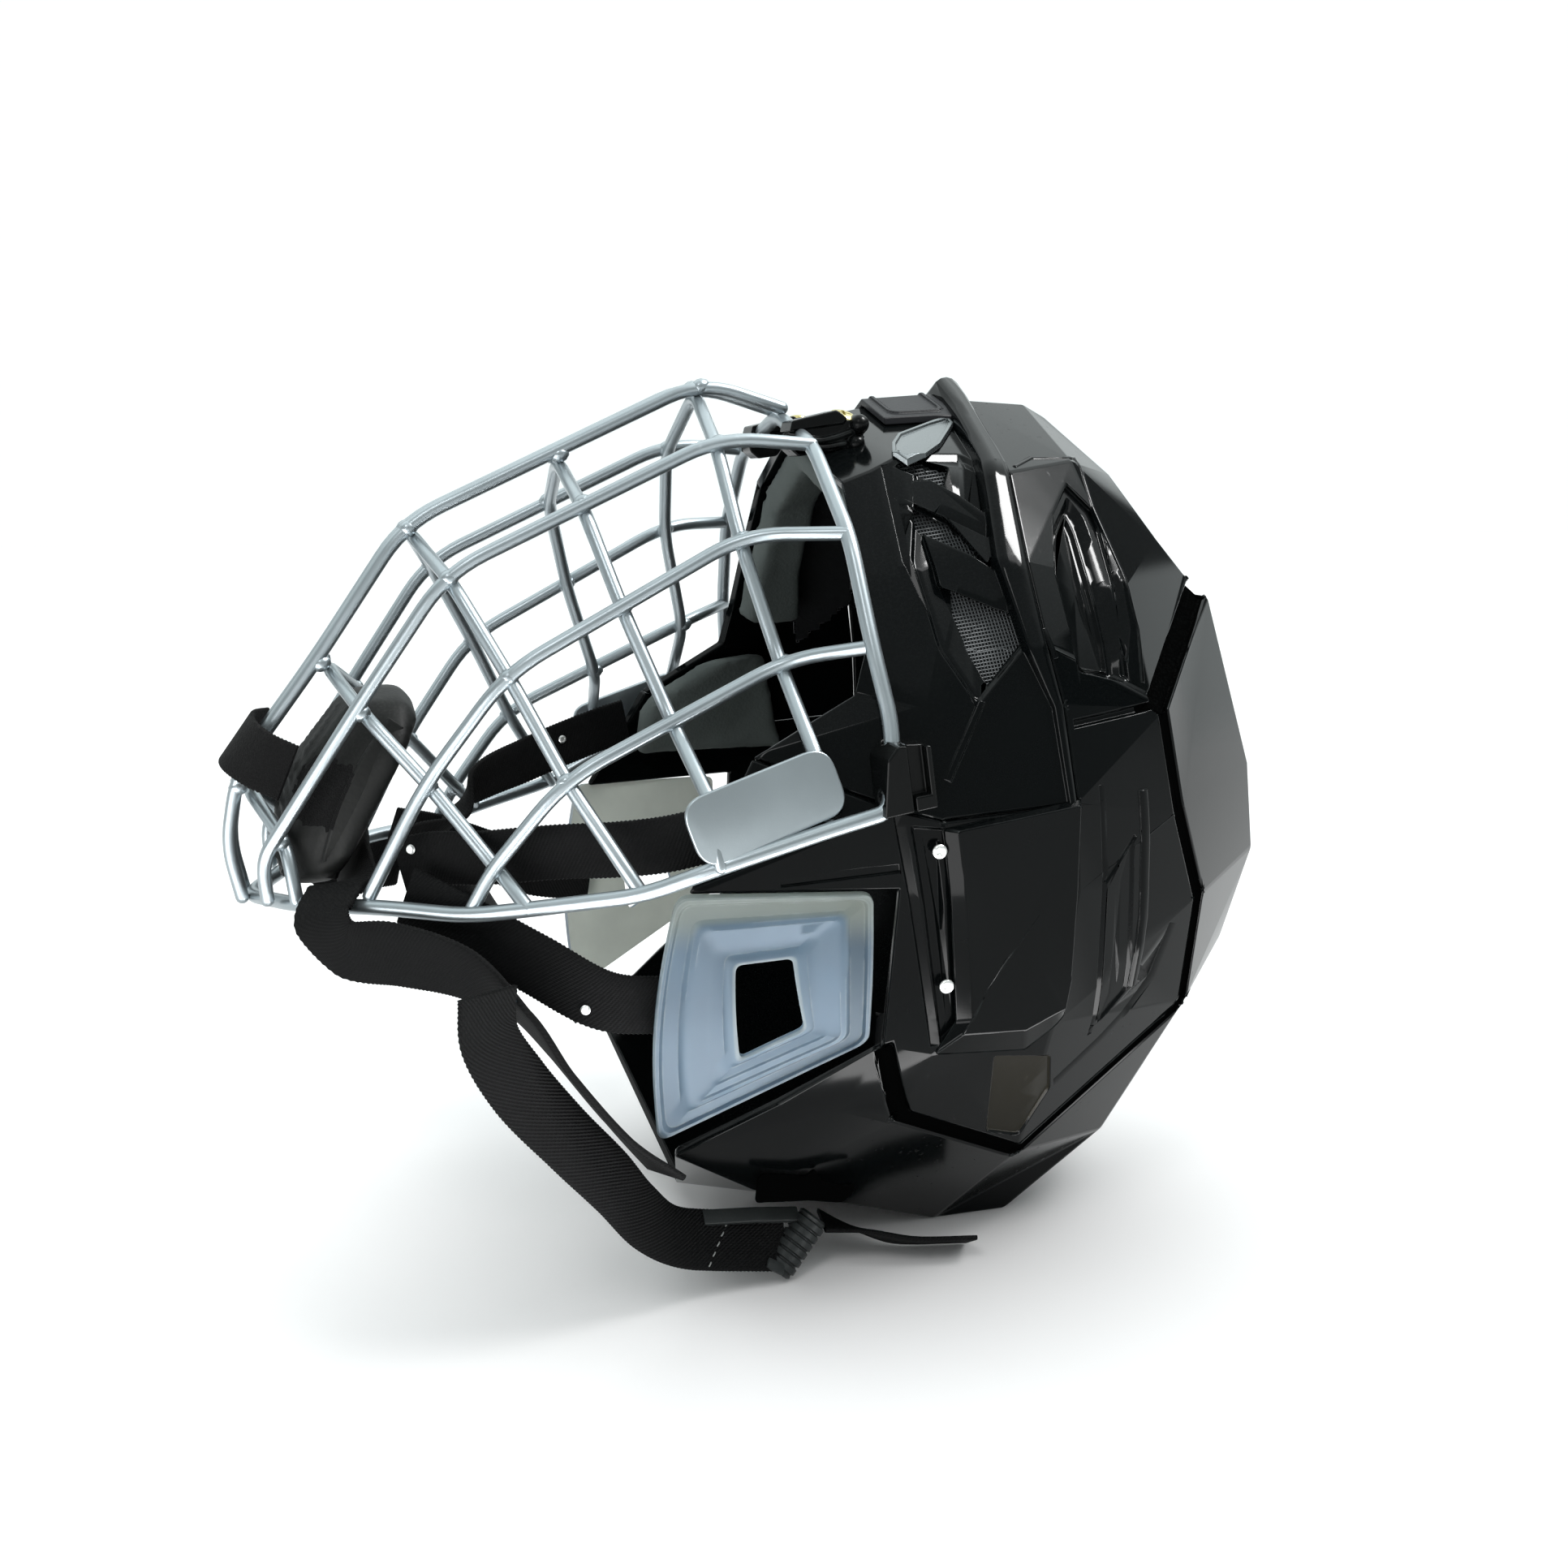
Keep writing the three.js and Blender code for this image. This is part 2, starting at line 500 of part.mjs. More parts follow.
function sidePlate() {
  const [l, w, c] = [PLATE.length / 2, PLATE.width / 2, PLATE.corner];
  const shape = new THREE.Shape();
  shape.moveTo(-l + c, -w);
  shape.lineTo(l - c, -w);
  shape.absarc(l - c, -w + c, c, -Math.PI / 2, 0);
  shape.absarc(l - c, w - c, c, 0, Math.PI / 2);
  shape.absarc(-l + c, w - c, c, Math.PI / 2, Math.PI);
  shape.absarc(-l + c, -w + c, c, Math.PI, Math.PI * 1.5);
  const geometry = new THREE.ExtrudeGeometry(shape, { depth: PLATE.thickness, bevelEnabled: false, curveSegments: 4 });
  geometry.translate(0, 0, -PLATE.thickness / 2);
  geometry.rotateX(Math.PI / 2); // length along forward, width along up, face outwards
  geometry.rotateY(THREE.MathUtils.degToRad(-79)); // the length runs up the face
  geometry.rotateZ(THREE.MathUtils.degToRad(-8)); // and the plate turns in towards the front
  geometry.translate(...PLATE_CENTRE);
  const tabs = [[-45, 0, 3.5], [-14, 1, 8]].map(([up, shift, tab]) => rod(
    [new THREE.Vector3(11, PLATE_CENTRE[1] + 0.8, up + shift), new THREE.Vector3(tab, RIM_TAB_OUT, up)],
    WIRE.radius * 0.9, 6));
  return union([solidOf(geometry), ...tabs]);
}

const cage = buildCage();
place('cage', cage, STEEL);

// ---------------------------------------------------------------- cage clips and forehead screws
const rimClearance = (grow) => {
  const route = RIM_ROUTE.slice(0, 8).map(vec);
  const start = new THREE.Vector3(RIM_ROUTE[1][0], -RIM_ROUTE[1][1], RIM_ROUTE[1][2]);
  return rod([start, ...route], RIM_WIRE.radius + grow, 10, 8);
};
const wireRoom = rimClearance(GAP * 1.5);
const FOREHEAD_CLIP = [[103, 9], [111, 8], [115, 11], [114.5, 20], [111, 33], [103, 35]];
const clipOf = (outline, from, to) => clearOfShell(sidePrism(outline, from, to).subtract(wireRoom));
placePair('forehead_clip', clipOf(FOREHEAD_CLIP, 16, 29), SATIN_BLACK);
const SIDE_CLIP = [[3.5, -3], [26, 1], [31, 6], [29, 20], [4, 20]];
placePair('side_clip', clipOf(SIDE_CLIP, 86, 101), SATIN_BLACK);

// A round head on a short shank, standing off `centre` along `axis`.
function screw(centre, axis) {
  const head = new THREE.CylinderGeometry(SCREW.head * 0.8, SCREW.head, SCREW.height, SCREW.sides);
  head.applyQuaternion(new THREE.Quaternion().setFromUnitVectors(new THREE.Vector3(0, 1, 0), vec(axis).normalize()));
  head.translate(...centre);
  return solidOf(head);
}
placePair('forehead_screw', screw([113.6, 22.5, 28.3], [0.966, 0, 0.26]), BRASS);

// ---------------------------------------------------------------- chin cup
// Side outline of the cup, [forward, up]. Its rim line runs from `high` to `low`; cross slices keep
// that line and shrink along it and away from it.
const CUP_RIM = { high: [46, -110], low: [1, -144] };
const CUP_OUTLINE = [[55, -128], [53, -114], CUP_RIM.high, CUP_RIM.low, [3, -156], [20, -155], [36, -148]];
const CUP_SLICES = [{ out: 0, long: 1, deep: 1 }, { out: 19, long: 0.96, deep: 0.86 },
  { out: 27, long: 0.76, deep: 0.5 }, { out: 32, long: 0.5, deep: 0.22 }];
const CUP_HOLLOW = { along: 25, deep: 15, out: 26 };

function cupFrame() {
  const [high, low] = [CUP_RIM.high, CUP_RIM.low].map(([f, u]) => new THREE.Vector3(f, 0, u));
  const along = high.clone().sub(low).normalize();
  const out = new THREE.Vector3(0, 1, 0);
  return { middle: high.add(low).multiplyScalar(0.5), along, out, deep: along.clone().cross(out) };
}

function chinCup() {
  const { middle, along, out, deep } = cupFrame();
  const points = [];
  for (const slice of CUP_SLICES) {
    for (const [forward, up] of CUP_OUTLINE) {
      const p = new THREE.Vector3(forward, 0, up).sub(middle);
      const inSlice = middle.clone().addScaledVector(along, p.dot(along) * slice.long)
        .addScaledVector(deep, p.dot(deep) * slice.deep);
      for (const side of slice.out ? [1, -1] : [1]) points.push(inSlice.clone().setY(slice.out * side));
    }
  }
  const hollow = new THREE.SphereGeometry(1, 20, 12);
  hollow.scale(CUP_HOLLOW.along, CUP_HOLLOW.out, CUP_HOLLOW.deep);
  hollow.applyMatrix4(new THREE.Matrix4().makeBasis(along, out, deep));
  hollow.translate(...middle.toArray());
  return largest(solidOf(new ConvexGeometry(points)).subtract(solidOf(hollow)));
}

// A hook-and-loop band that runs round the two centre wires.
const CUP_TAB = { from: 0.38, to: 0.86, half: 13, wall: 2, room: 0.6 };
function cupTab() {
  const [top, bottom] = [vec(UPRIGHTS[0].points[3]).setY(0), vec(UPRIGHTS[0].points[4]).setY(0)];
  const long = bottom.clone().sub(top);
  const wires = UPRIGHTS[0].points[3][1];
  const room = WIRE.radius + CUP_TAB.room;
  const box = (path, x, y) => path.moveTo(-x, -y).lineTo(x, -y).lineTo(x, y).lineTo(-x, y).lineTo(-x, -y);
  const ring = box(new THREE.Shape(), CUP_TAB.half, room + CUP_TAB.wall);
  ring.holes.push(box(new THREE.Path(), wires + room, room));
  const depth = long.length() * (CUP_TAB.to - CUP_TAB.from);
  const geometry = new THREE.ExtrudeGeometry(ring, { depth, bevelEnabled: false });
  const axis = long.clone().normalize();
  const across = new THREE.Vector3(0, 1, 0);
  geometry.applyMatrix4(new THREE.Matrix4().makeBasis(across, axis.clone().cross(across), axis));
  geometry.translate(...top.addScaledVector(long, CUP_TAB.from).toArray());
  return solidOf(geometry);
}

place('chin_cup_tab', cupTab(), BLACK_WEB);
place('chin_cup', chinCup(), CUP_FOAM);

// ---------------------------------------------------------------- straps
// The middle, breadth and face of a strap at `t` of its way through rows of { at, across }.
function strapFrame(rows, t) {
  const middle = new THREE.CatmullRomCurve3(rows.map((r) => vec(r.at)));
  const breadth = new THREE.CatmullRomCurve3(rows.map((r) => vec(r.across)));
  const along = middle.getTangent(t);
  const across = breadth.getPoint(t);
  across.addScaledVector(along, -across.dot(along)).normalize();
  return { p: middle.getPoint(t), along, across, out: along.clone().cross(across).normalize() };
}

function ribbon(rows, { width, thickness }, steps = 3) {
  const count = (rows.length - 1) * steps;
  const vertices = [];
  const triangles = [];
  for (let k = 0; k <= count; k += 1) {
    const { p, across, out } = strapFrame(rows, k / count);
    for (const [a, b] of [[1, 1], [-1, 1], [-1, -1], [1, -1]]) {
      vertices.push(p.clone().addScaledVector(across, (a * width) / 2).addScaledVector(out, (b * thickness) / 2));
    }
  }
  for (let k = 0; k < count; k += 1) {
    for (let i = 0; i < 4; i += 1) {
      const [a, b, c, d] = [k * 4 + i, k * 4 + ((i + 1) % 4), k * 4 + 4 + ((i + 1) % 4), k * 4 + 4 + i];
      triangles.push([a, b, c], [a, c, d]);
    }
  }
  const last = count * 4;
  triangles.push([0, 2, 1], [0, 3, 2], [last, last + 1, last + 2], [last, last + 2, last + 3]);
  const solid = solidFrom(vertices, triangles);
  return solid.volume() > 0 ? solid : solidFrom(vertices, triangles.map(([a, b, c]) => [a, c, b]));
}

const CAGE_STRAP = { width: 16, thickness: 1.8 };
const CAGE_STRAP_LEFT = [
  { at: [8, 74, -40], across: [1, 0, 0.2] }, { at: [7, 72, -54], across: [1, 0, 0.2] },
  { at: [7, 67, -67], across: [1, 0, 0.1] }, { at: [8, 60, -83], across: [1, 0, 0] },
  { at: [8, 50, -102], across: [1, 0, 0] }, { at: [8, 39, -116], across: [1, 0, 0.1] },
  { at: [6, 33, -124], across: [1, 0, 0.2] },
];
const CAGE_STRAP_RIGHT = [
  { at: [17, -74.1, -36], across: [1, 0, 0.1] }, { at: [16, -70, -48], across: [1, 0, 0.1] },
  { at: [12, -62, -74], across: [1, 0, 0.2] }, { at: [8, -51, -95], across: [1, 0, 0.7] },
  { at: [-2, -41, -106], across: [0.7, 0, 1] }, { at: [-4, -31, -120], across: [1, 0, 0.3] },
];
const REAR_STRAP = [
  { at: [-38, 75, -58], across: [1, 0, 0.5] }, { at: [-32, 75.5, -78], across: [1, 0, 0.5] },
  { at: [-19, 69, -95], across: [0.8, 0, 0.6] }, { at: [-7, 56, -112], across: [0.8, 0, 0.5] },
  { at: [0, 43, -124], across: [0.9, 0, 0.4] },
];
place('cage_strap_left', ribbon(CAGE_STRAP_LEFT, CAGE_STRAP), SATIN_BLACK);
place('cage_strap_right', ribbon(CAGE_STRAP_RIGHT, CAGE_STRAP), SATIN_BLACK);
placePair('rear_strap', ribbon(REAR_STRAP, { width: 17, thickness: 1.8 }), BLACK_WEB);

// The chin strap is one whole loop from the shell's far rear corner, under the chin, to the near one.
const CHIN_STRAP_NEAR = [
  { at: [3.5, 10, -137.3], across: [0.8, 0, 0.6] }, { at: [2.5, 25, -138.5], across: [0.6, 0.3, 0.7] },
  { at: [4.5, 36, -142.5], across: [0, 0.64, 0.77] }, { at: [-1.5, 43, -147.5], across: [0, 0.64, 0.77] },
  { at: [-10, 48, -143], across: [0.3, 0.6, 0.7] }, { at: [-12, 57, -130], across: [0.8, 0.3, 0.4] },
  { at: [-18, 69, -113], across: [0.7, 0.6, 0.4] }, { at: [-30, 77, -101], across: [0.1, 1, 0.3] },
  { at: [-46, 79, -93], across: [-0.1, 1, 0.2] }, { at: [-70, 76, -80.5], across: [0, 1, 0.2] },
  { at: [-87, 72.5, -69], across: [0.3, 1, 0.3] },
];
const CHIN_STRAP_FAR = CHIN_STRAP_NEAR.map(({ at: [f, s, u], across: [a, b, c] }) => (
  { at: [f, -s, u], across: s > 60 ? [-a, b, -c] : [a, -b, c] })).reverse();
const CHIN_STRAP = [...CHIN_STRAP_FAR, ...CHIN_STRAP_NEAR];
place('chin_strap', ribbon(CHIN_STRAP, WEBBING), BLACK_WEB);

// Outer ply, buckle and free end, in the lying frame.
const ADJUST_STRAP = [
  { at: [-106, -90, 109], across: [0.8, 0.5, 0.1] }, { at: [-106, -90, 97], across: [0.8, 0.55, 0.1] },
  { at: [-99, -89, 83], across: [0.8, 0.5, 0.3] }, { at: [-86, -85, 65], across: [0.6, 0.6, 0.5] },
  { at: [-73, -79, 48], across: [0.5, 0.6, 0.6] }, { at: [-63, -72, 33], across: [0.45, 0.65, 0.6] },
  { at: [-52, -65, 22], across: [0.31, 0.79, 0.5] }, { at: [-39, -60, 17], across: [0.31, 0.79, 0.5] },
  { at: [-27, -58, 15], across: [0.31, 0.79, 0.5] },
];
place('adjust_strap', ribbon(ADJUST_STRAP, WEBBING), BLACK_WEB, loose);

// A ladder buckle: a frame that twists from the strap's end to a ribbed thumb bar near the floor.
const BUCKLE = { width: 22, thickness: 3.6, slot: 3, roller: 5, rollerSides: 12, rollerAt: [-9, -57, 10],
  rollerAxis: [0.87, 0.18, 0.45] };
const STRAP_TAIL = [
  { at: [-3, -51, 13.5], across: [0.3, 0.8, -0.1] }, { at: [9, -53, 9.5], across: [0.1, 0.88, -0.4] },
  { at: [21, -57, 6.5], across: [0, 0.87, -0.5] }, { at: [43, -61, 5.4], across: [0, 0.87, -0.5] },
];
function buckle() {
  const end = strapFrame(ADJUST_STRAP, 1);
  const centre = vec(BUCKLE.rollerAt);
  const axis = vec(BUCKLE.rollerAxis).normalize();
  const corners = [];
  for (const [p, across] of [[end.p.clone().addScaledVector(end.along, -BUCKLE.slot), end.across], [centre, axis]]) {
    for (const [a, b] of [[1, 1], [-1, 1], [-1, -1], [1, -1]]) {
      corners.push(p.clone().addScaledVector(across, (a * BUCKLE.width) / 2)
        .addScaledVector(end.out, (b * BUCKLE.thickness) / 2));
    }
  }
  const bar = new THREE.CylinderGeometry(BUCKLE.roller, BUCKLE.roller, BUCKLE.width, BUCKLE.rollerSides);
  bar.applyQuaternion(new THREE.Quaternion().setFromUnitVectors(new THREE.Vector3(0, 1, 0), axis));
  bar.translate(...centre);
  const slot = (rows) => ribbon(rows, { width: WEBBING.width + 1, thickness: WEBBING.thickness + GAP * 3 });
  return largest(solidOf(new ConvexGeometry(corners)).add(solidOf(bar))
    .subtract(slot(ADJUST_STRAP)).subtract(slot(STRAP_TAIL)));
}
place('strap_buckle', buckle(), SATIN_BLACK, loose);
place('strap_tail', ribbon(STRAP_TAIL, { width: 17, thickness: 1.4 }), BLACK_WEB, loose);

// Snap studs, each standing on the outer face of a strap at `t` of its way.
const STUD = { radius: 2.4, height: 1.4, sides: 12 };
const SNAPS = [
  { name: 'rear_strap_snap', rows: REAR_STRAP, t: 0.3, aside: -4 },
  { name: 'harness_snap', rows: CAGE_STRAP_LEFT, t: 0.9, aside: 4 },
  { name: 'far_strap_snap', rows: CAGE_STRAP_RIGHT, t: 0.3, aside: 2 },
];
for (const { name, rows, t, aside } of SNAPS) {
  const { p, across, out } = strapFrame(rows, t);
  const facing = out.y > 0 ? out : out.negate();
  const stud = new THREE.CylinderGeometry(STUD.radius * 0.8, STUD.radius, STUD.height, STUD.sides);
  stud.applyQuaternion(new THREE.Quaternion().setFromUnitVectors(new THREE.Vector3(0, 1, 0), facing));
  const lift = CAGE_STRAP.thickness / 2 + GAP + STUD.height / 2;
  stud.translate(...p.addScaledVector(across, aside).addScaledVector(facing, lift).toArray());
  place(name, solidOf(stud), BRIGHT);
}

export default model;
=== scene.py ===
"""Ice hockey helmet with a wire face cage, lying on the back of its shell.

Sizes in the tables are millimetres in the helmet's own upright frame, [forward, left, up];
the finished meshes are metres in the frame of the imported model.
"""

import math

import bmesh
import bpy
from mathutils import Matrix, Vector
from mathutils.bvhtree import BVHTree


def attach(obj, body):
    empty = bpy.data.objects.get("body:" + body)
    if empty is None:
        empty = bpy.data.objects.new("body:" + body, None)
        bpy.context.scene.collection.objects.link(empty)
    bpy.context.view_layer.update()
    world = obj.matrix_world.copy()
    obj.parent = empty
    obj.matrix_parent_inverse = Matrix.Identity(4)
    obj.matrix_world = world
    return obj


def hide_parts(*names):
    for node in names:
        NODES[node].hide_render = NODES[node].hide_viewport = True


bl_info = {
    "name": "Hockey helmet",
    "version": (1, 0, 0),
    "blender": (4, 5, 0),
    "location": "View3D > Sidebar > Helmet",
    "description": "Builds the shells, cage, liner and straps of a hockey helmet",
    "category": "Add Mesh",
}

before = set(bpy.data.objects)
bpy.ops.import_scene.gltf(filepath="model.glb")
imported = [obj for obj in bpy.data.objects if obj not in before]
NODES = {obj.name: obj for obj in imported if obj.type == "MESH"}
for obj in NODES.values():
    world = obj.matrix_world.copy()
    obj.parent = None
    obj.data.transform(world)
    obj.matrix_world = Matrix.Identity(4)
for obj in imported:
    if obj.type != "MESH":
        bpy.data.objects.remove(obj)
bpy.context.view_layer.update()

MM = 0.001
SEAT = Vector((0.006921, 0.0, 0.141504))  # where the helmet's reference point stands
TURN = Matrix.Rotation(math.radians(82), 4, "Y") @ Matrix.Rotation(math.pi, 4, "Z")
HELMET = Matrix.Translation(SEAT) @ TURN @ Matrix.Scale(MM, 4)
LOOSE = Matrix.Translation((SEAT.x, 0, 0)) @ Matrix.Scale(MM, 4)

WALL = 3.2  # moulded shell wall
BODY = "root"
RUN_OFF = 0.7  # share of a rounding's width that a corner may lie off the shape

# The shell as sections from the brow over to the nape, each from its rim up to the centre line.
COLUMNS = ("rim", "cheek", "belt", "seam", "ridge", "crown", "top")
SECTIONS = {
    "brow": ((112, 0, 16), (114, 0, 28), (115, 0, 42), (113, 0, 76), (109, 0, 97),
             (104, 0, 104), (98, 0, 110)),
    "fore": ((95, 46, 17), (97, 46, 26), (100, 44, 36), (91, 52, 66), (91, 43, 91),
             (84, 24, 113), (82, 0, 118)),
    "vent": ((72, 65, 13), (71, 69, 22), (69, 71, 32), (67, 74, 59), (55, 69, 92),
             (63, 38, 120), (64, 0, 130)),
    "gapFront": ((51, 76, 8), (49, 80, 19), (48, 83, 32), (45, 86, 57), (24, 82, 90),
                 (50, 36, 130), (49, 0, 139)),
    "gapBack": ((39.4, 77, 3), (34, 86, 17), (32, 89, 34), (28, 91, 58), (20, 84, 93),
                (41, 36, 138), (38, 0, 147)),
    "side": ((27, 76, -28), (9, 93, 6), (4, 95, 18), (1, 96, 57), (-11, 85, 95),
             (-15, 36, 148), (-14, 0, 156)),
    "ear": ((-5, 83, -52.5), (-13, 94, 3), (-18, 96, 16), (-24, 96, 55), (-40, 78, 103),
            (-43, 38, 146), (-45, 0, 154)),
    "heel": ((-58, 90, -6), (-58, 90, -6), (-63, 92, 8), (-63, 92, 45), (-78, 66, 101),
             (-70, 41, 130), (-76, 0, 142)),
    "nape": ((-72, 80, -36), (-77, 82, -20), (-84, 82, -1), (-113, 66, 40), (-126, 42, 80),
             (-114, 30, 103), (-118, 0, 110)),
    "occiput": ((-86, 66, -65), (-106, 60, -42), (-121, 50, -18), (-145.84, 34, 21),
                (-149.36, 34, 46), (-138, 22, 78), (-138, 0, 82)),
    "floor": ((-127, 0, -56), (-137.8, 0, -30), (-143.45, 0, 4), (-147.11, 0, 30),
              (-150.06, 0, 51), (-146, 0, 68), (-146, 0, 68)),
}
SECTION_NAMES = tuple(SECTIONS)
SHELL_MIDDLE = Vector((-20, 0, 40))


# ---- mesh tools
def mesh_object(name, points, faces):
    """A new object in the scene with a mesh of these corners and faces."""
    mesh = bpy.data.meshes.new(name)
    mesh.from_pydata([tuple(p) for p in points], [], faces)
    obj = bpy.data.objects.new(name, mesh)
    bpy.context.scene.collection.objects.link(obj)
    return obj


def edit(obj, change):
    """Runs change on the object's mesh as a bmesh."""
    bm = bmesh.new()
    bm.from_mesh(obj.data)
    result = change(bm)
    bm.to_mesh(obj.data)
    bm.free()
    obj.data.update()
    return result


def relax(obj, rounds, picked=None):
    """Evens out the object's corners, or those with the picked numbers, a number of times."""
    def smooth(bm):
        bm.verts.ensure_lookup_table()
        verts = [bm.verts[k] for k in picked] if picked else bm.verts
        for _ in range(rounds):
            bmesh.ops.smooth_vert(bm, verts=verts, factor=0.5, use_axis_x=True, use_axis_y=True,
                                  use_axis_z=True)
    edit(obj, smooth)


def outward(obj):
    """Turns all faces outwards."""
    edit(obj, lambda bm: bmesh.ops.recalc_face_normals(bm, faces=bm.faces))
    return obj


def discard(obj):
    """Removes a helper object and its mesh."""
    mesh = obj.data
    bpy.data.objects.remove(obj)
    bpy.data.meshes.remove(mesh)


def settle(obj):
    """Applies the object's modifiers to its mesh."""
    graph = bpy.context.evaluated_depsgraph_get()
    mesh = bpy.data.meshes.new_from_object(
        obj.evaluated_get(graph), preserve_all_data_layers=True, depsgraph=graph)
    obj.modifiers.clear()
    old, obj.data = obj.data, mesh
    bpy.data.meshes.remove(old)
    return obj


def combine(base, operation, others):
    """Boolean of base with each of the others, which are used up."""
    for other in others:
        step = base.modifiers.new("Combine", "BOOLEAN")
        step.operation, step.solver, step.object = operation, "MANIFOLD", other
        settle(base)
        discard(other)
    return base


def join(name, objects):
    """One object that holds the meshes of all the others as loose parts."""
    bm = bmesh.new()
    materials = []
    for obj in objects:
        shift = {}
        for index, material in enumerate(obj.data.materials):
            if material not in materials:
                materials.append(material)
            shift[index] = materials.index(material)
        start = len(bm.faces)
        bm.from_mesh(obj.data)
        bm.faces.ensure_lookup_table()
        for face in bm.faces[start:]:
            face.material_index = shift.get(face.material_index, 0)
    mesh = bpy.data.meshes.new(name)
    bm.to_mesh(mesh)
    bm.free()
    for material in materials:
        mesh.materials.append(material)
    joined = bpy.data.objects.new(name, mesh)
    bpy.context.scene.collection.objects.link(joined)
    for obj in objects:
        discard(obj)
    joined.name = name
    return joined


def mirrored(obj):
    """A copy on the other side of the helmet's middle plane, facing out."""
    copy = bpy.data.objects.new(obj.name, obj.data.copy())
    bpy.context.scene.collection.objects.link(copy)

    def flip(bm):
        for vert in bm.verts:
            vert.co.y = -vert.co.y
        bmesh.ops.reverse_faces(bm, faces=bm.faces)
    edit(copy, flip)
    return copy


def both_sides(objects):
    """The objects and their mirrored copies."""
    return [part for obj in objects for part in (obj, mirrored(obj))]


def part_pinches(bm):
    """Gives each fan of faces its own corner where several fans meet in a single point."""
    for vert in [v for v in bm.verts if not v.is_manifold]:
        left, fans = list(vert.link_faces), []
        while left:
            fan, reached = [left.pop()], 0
            while reached < len(fan):
                ways = [e for e in fan[reached].edges if vert in e.verts]
                for near in [f for f in left if any(e in ways for e in f.edges)]:
                    left.remove(near)
                    fan.append(near)
                reached += 1
            fans.append(fan)
        for fan in fans[1:]:
            middle = sum((face.calc_center_median() for face in fan), Vector()) / len(fan)
            twin = bm.verts.new(vert.co.lerp(middle, 0.02))
            for face in fan:
                bm.faces.new([twin if v is vert else v for v in face.verts])
                bm.faces.remove(face)
    for edge in [e for e in bm.edges if not e.link_faces]:
        bm.edges.remove(edge)


def cad_solid(node):
    """A merged copy of a CAD node's mesh, back in millimetres."""
    copy = bpy.data.objects.new(node + "_copy", NODES[node].data.copy())
    bpy.context.scene.collection.objects.link(copy)
    copy.data.materials.clear()
    copy.data.transform(HELMET.inverted())

    def merge(bm):
        bmesh.ops.remove_doubles(bm, verts=bm.verts, dist=0.002)
        bmesh.ops.dissolve_degenerate(bm, dist=0.001, edges=bm.edges)
        part_pinches(bm)
    edit(copy, merge)
    return copy


def soften(obj, width, segments=2, angle=14, merge=0.6):
    """Rounds the edges sharper than angle, and pulls back any corner that runs off the shape.

    Faces that lean less than merge degrees to each other are made one face before that.
    """
    edit(obj, lambda bm: bmesh.ops.dissolve_limit(
        bm, angle_limit=math.radians(merge), verts=bm.verts, edges=bm.edges))
    tree = BVHTree.FromObject(obj, bpy.context.evaluated_depsgraph_get())
    step = obj.modifiers.new("Round edges", "BEVEL")
    step.width, step.segments = width, segments
    step.limit_method, step.angle_limit = "ANGLE", math.radians(angle)
    step.use_clamp_overlap = False
    settle(obj)
    for vert in obj.data.vertices:
        near, _, _, distance = tree.find_nearest(vert.co)
        if distance > width * RUN_OFF:
            vert.co = near
    return obj


def shade(obj, angle=38, weighted=True):
    """Smooth shading up to an angle, with large faces kept flat."""
    obj.data.shade_smooth()
    obj.data.set_sharp_from_angle(angle=math.radians(angle))
    if weighted:
        step = obj.modifiers.new("Flat faces", "WEIGHTED_NORMAL")
        step.keep_sharp, step.weight = True, 80
        settle(obj)
    return obj


def finish_piece(obj, name, look, slot, nodes, place=HELMET):
    """Puts a piece in the model's frame with its material and body, and hides its CAD nodes; the slot is not
    used.
    """
    obj.name = name
    obj.data.name = name
    obj.data.transform(place)
    if look is not None:
        obj.data.materials.clear()
        obj.data.materials.append(look)
    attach(obj, BODY)
    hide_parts(*nodes)
    return obj


# ---- paths and bars
def ring_faces(rings, sides, closed=False, capped=False):
    """Faces between rings of corners that lie one after another, and over the two ends if capped."""
    faces = []
    for k in range(rings if closed else rings - 1):
        here, there = k * sides, (k + 1) % rings * sides
        for i in range(sides):
            j = (i + 1) % sides
            faces.append((here + i, here + j, there + j, there + i))
    if capped:
        faces += [tuple(range(sides))[::-1], tuple(range((rings - 1) * sides, rings * sides))]
    return faces


def arc(before, corner, after, reach, steps):
    """Points of the bend that takes the place of a corner, from reach before it to reach after it."""
    reach = min(reach, (before - corner).length * 0.45, (after - corner).length * 0.45)
    start = corner + (before - corner).normalized() * reach
    end = corner + (after - corner).normalized() * reach
    shares = [k / steps for k in range(steps + 1)]
    return [start * (1 - t) ** 2 + corner * 2 * t * (1 - t) + end * t * t for t in shares]


def rounded(points, bend, steps=7):
    """The corner points of a wire that is straight between bends of the given reach."""
    points = [Vector(p) for p in points]
    bends = [arc(*corners, bend, steps) for corners in zip(points, points[1:], points[2:])]
    return [points[0], *(stop for stops in bends for stop in stops), points[-1]]


def rounded_outline(corners, radius, steps=5):
    """The corners of a flat outline, each turned into a small arc."""
    flat = [Vector((p, q, 0)) for p, q in corners]
    bends = [arc(flat[i - 1], corner, flat[(i + 1) % len(flat)], radius, steps)
             for i, corner in enumerate(flat)]
    return [(stop.x, stop.y) for stops in bends for stop in stops]


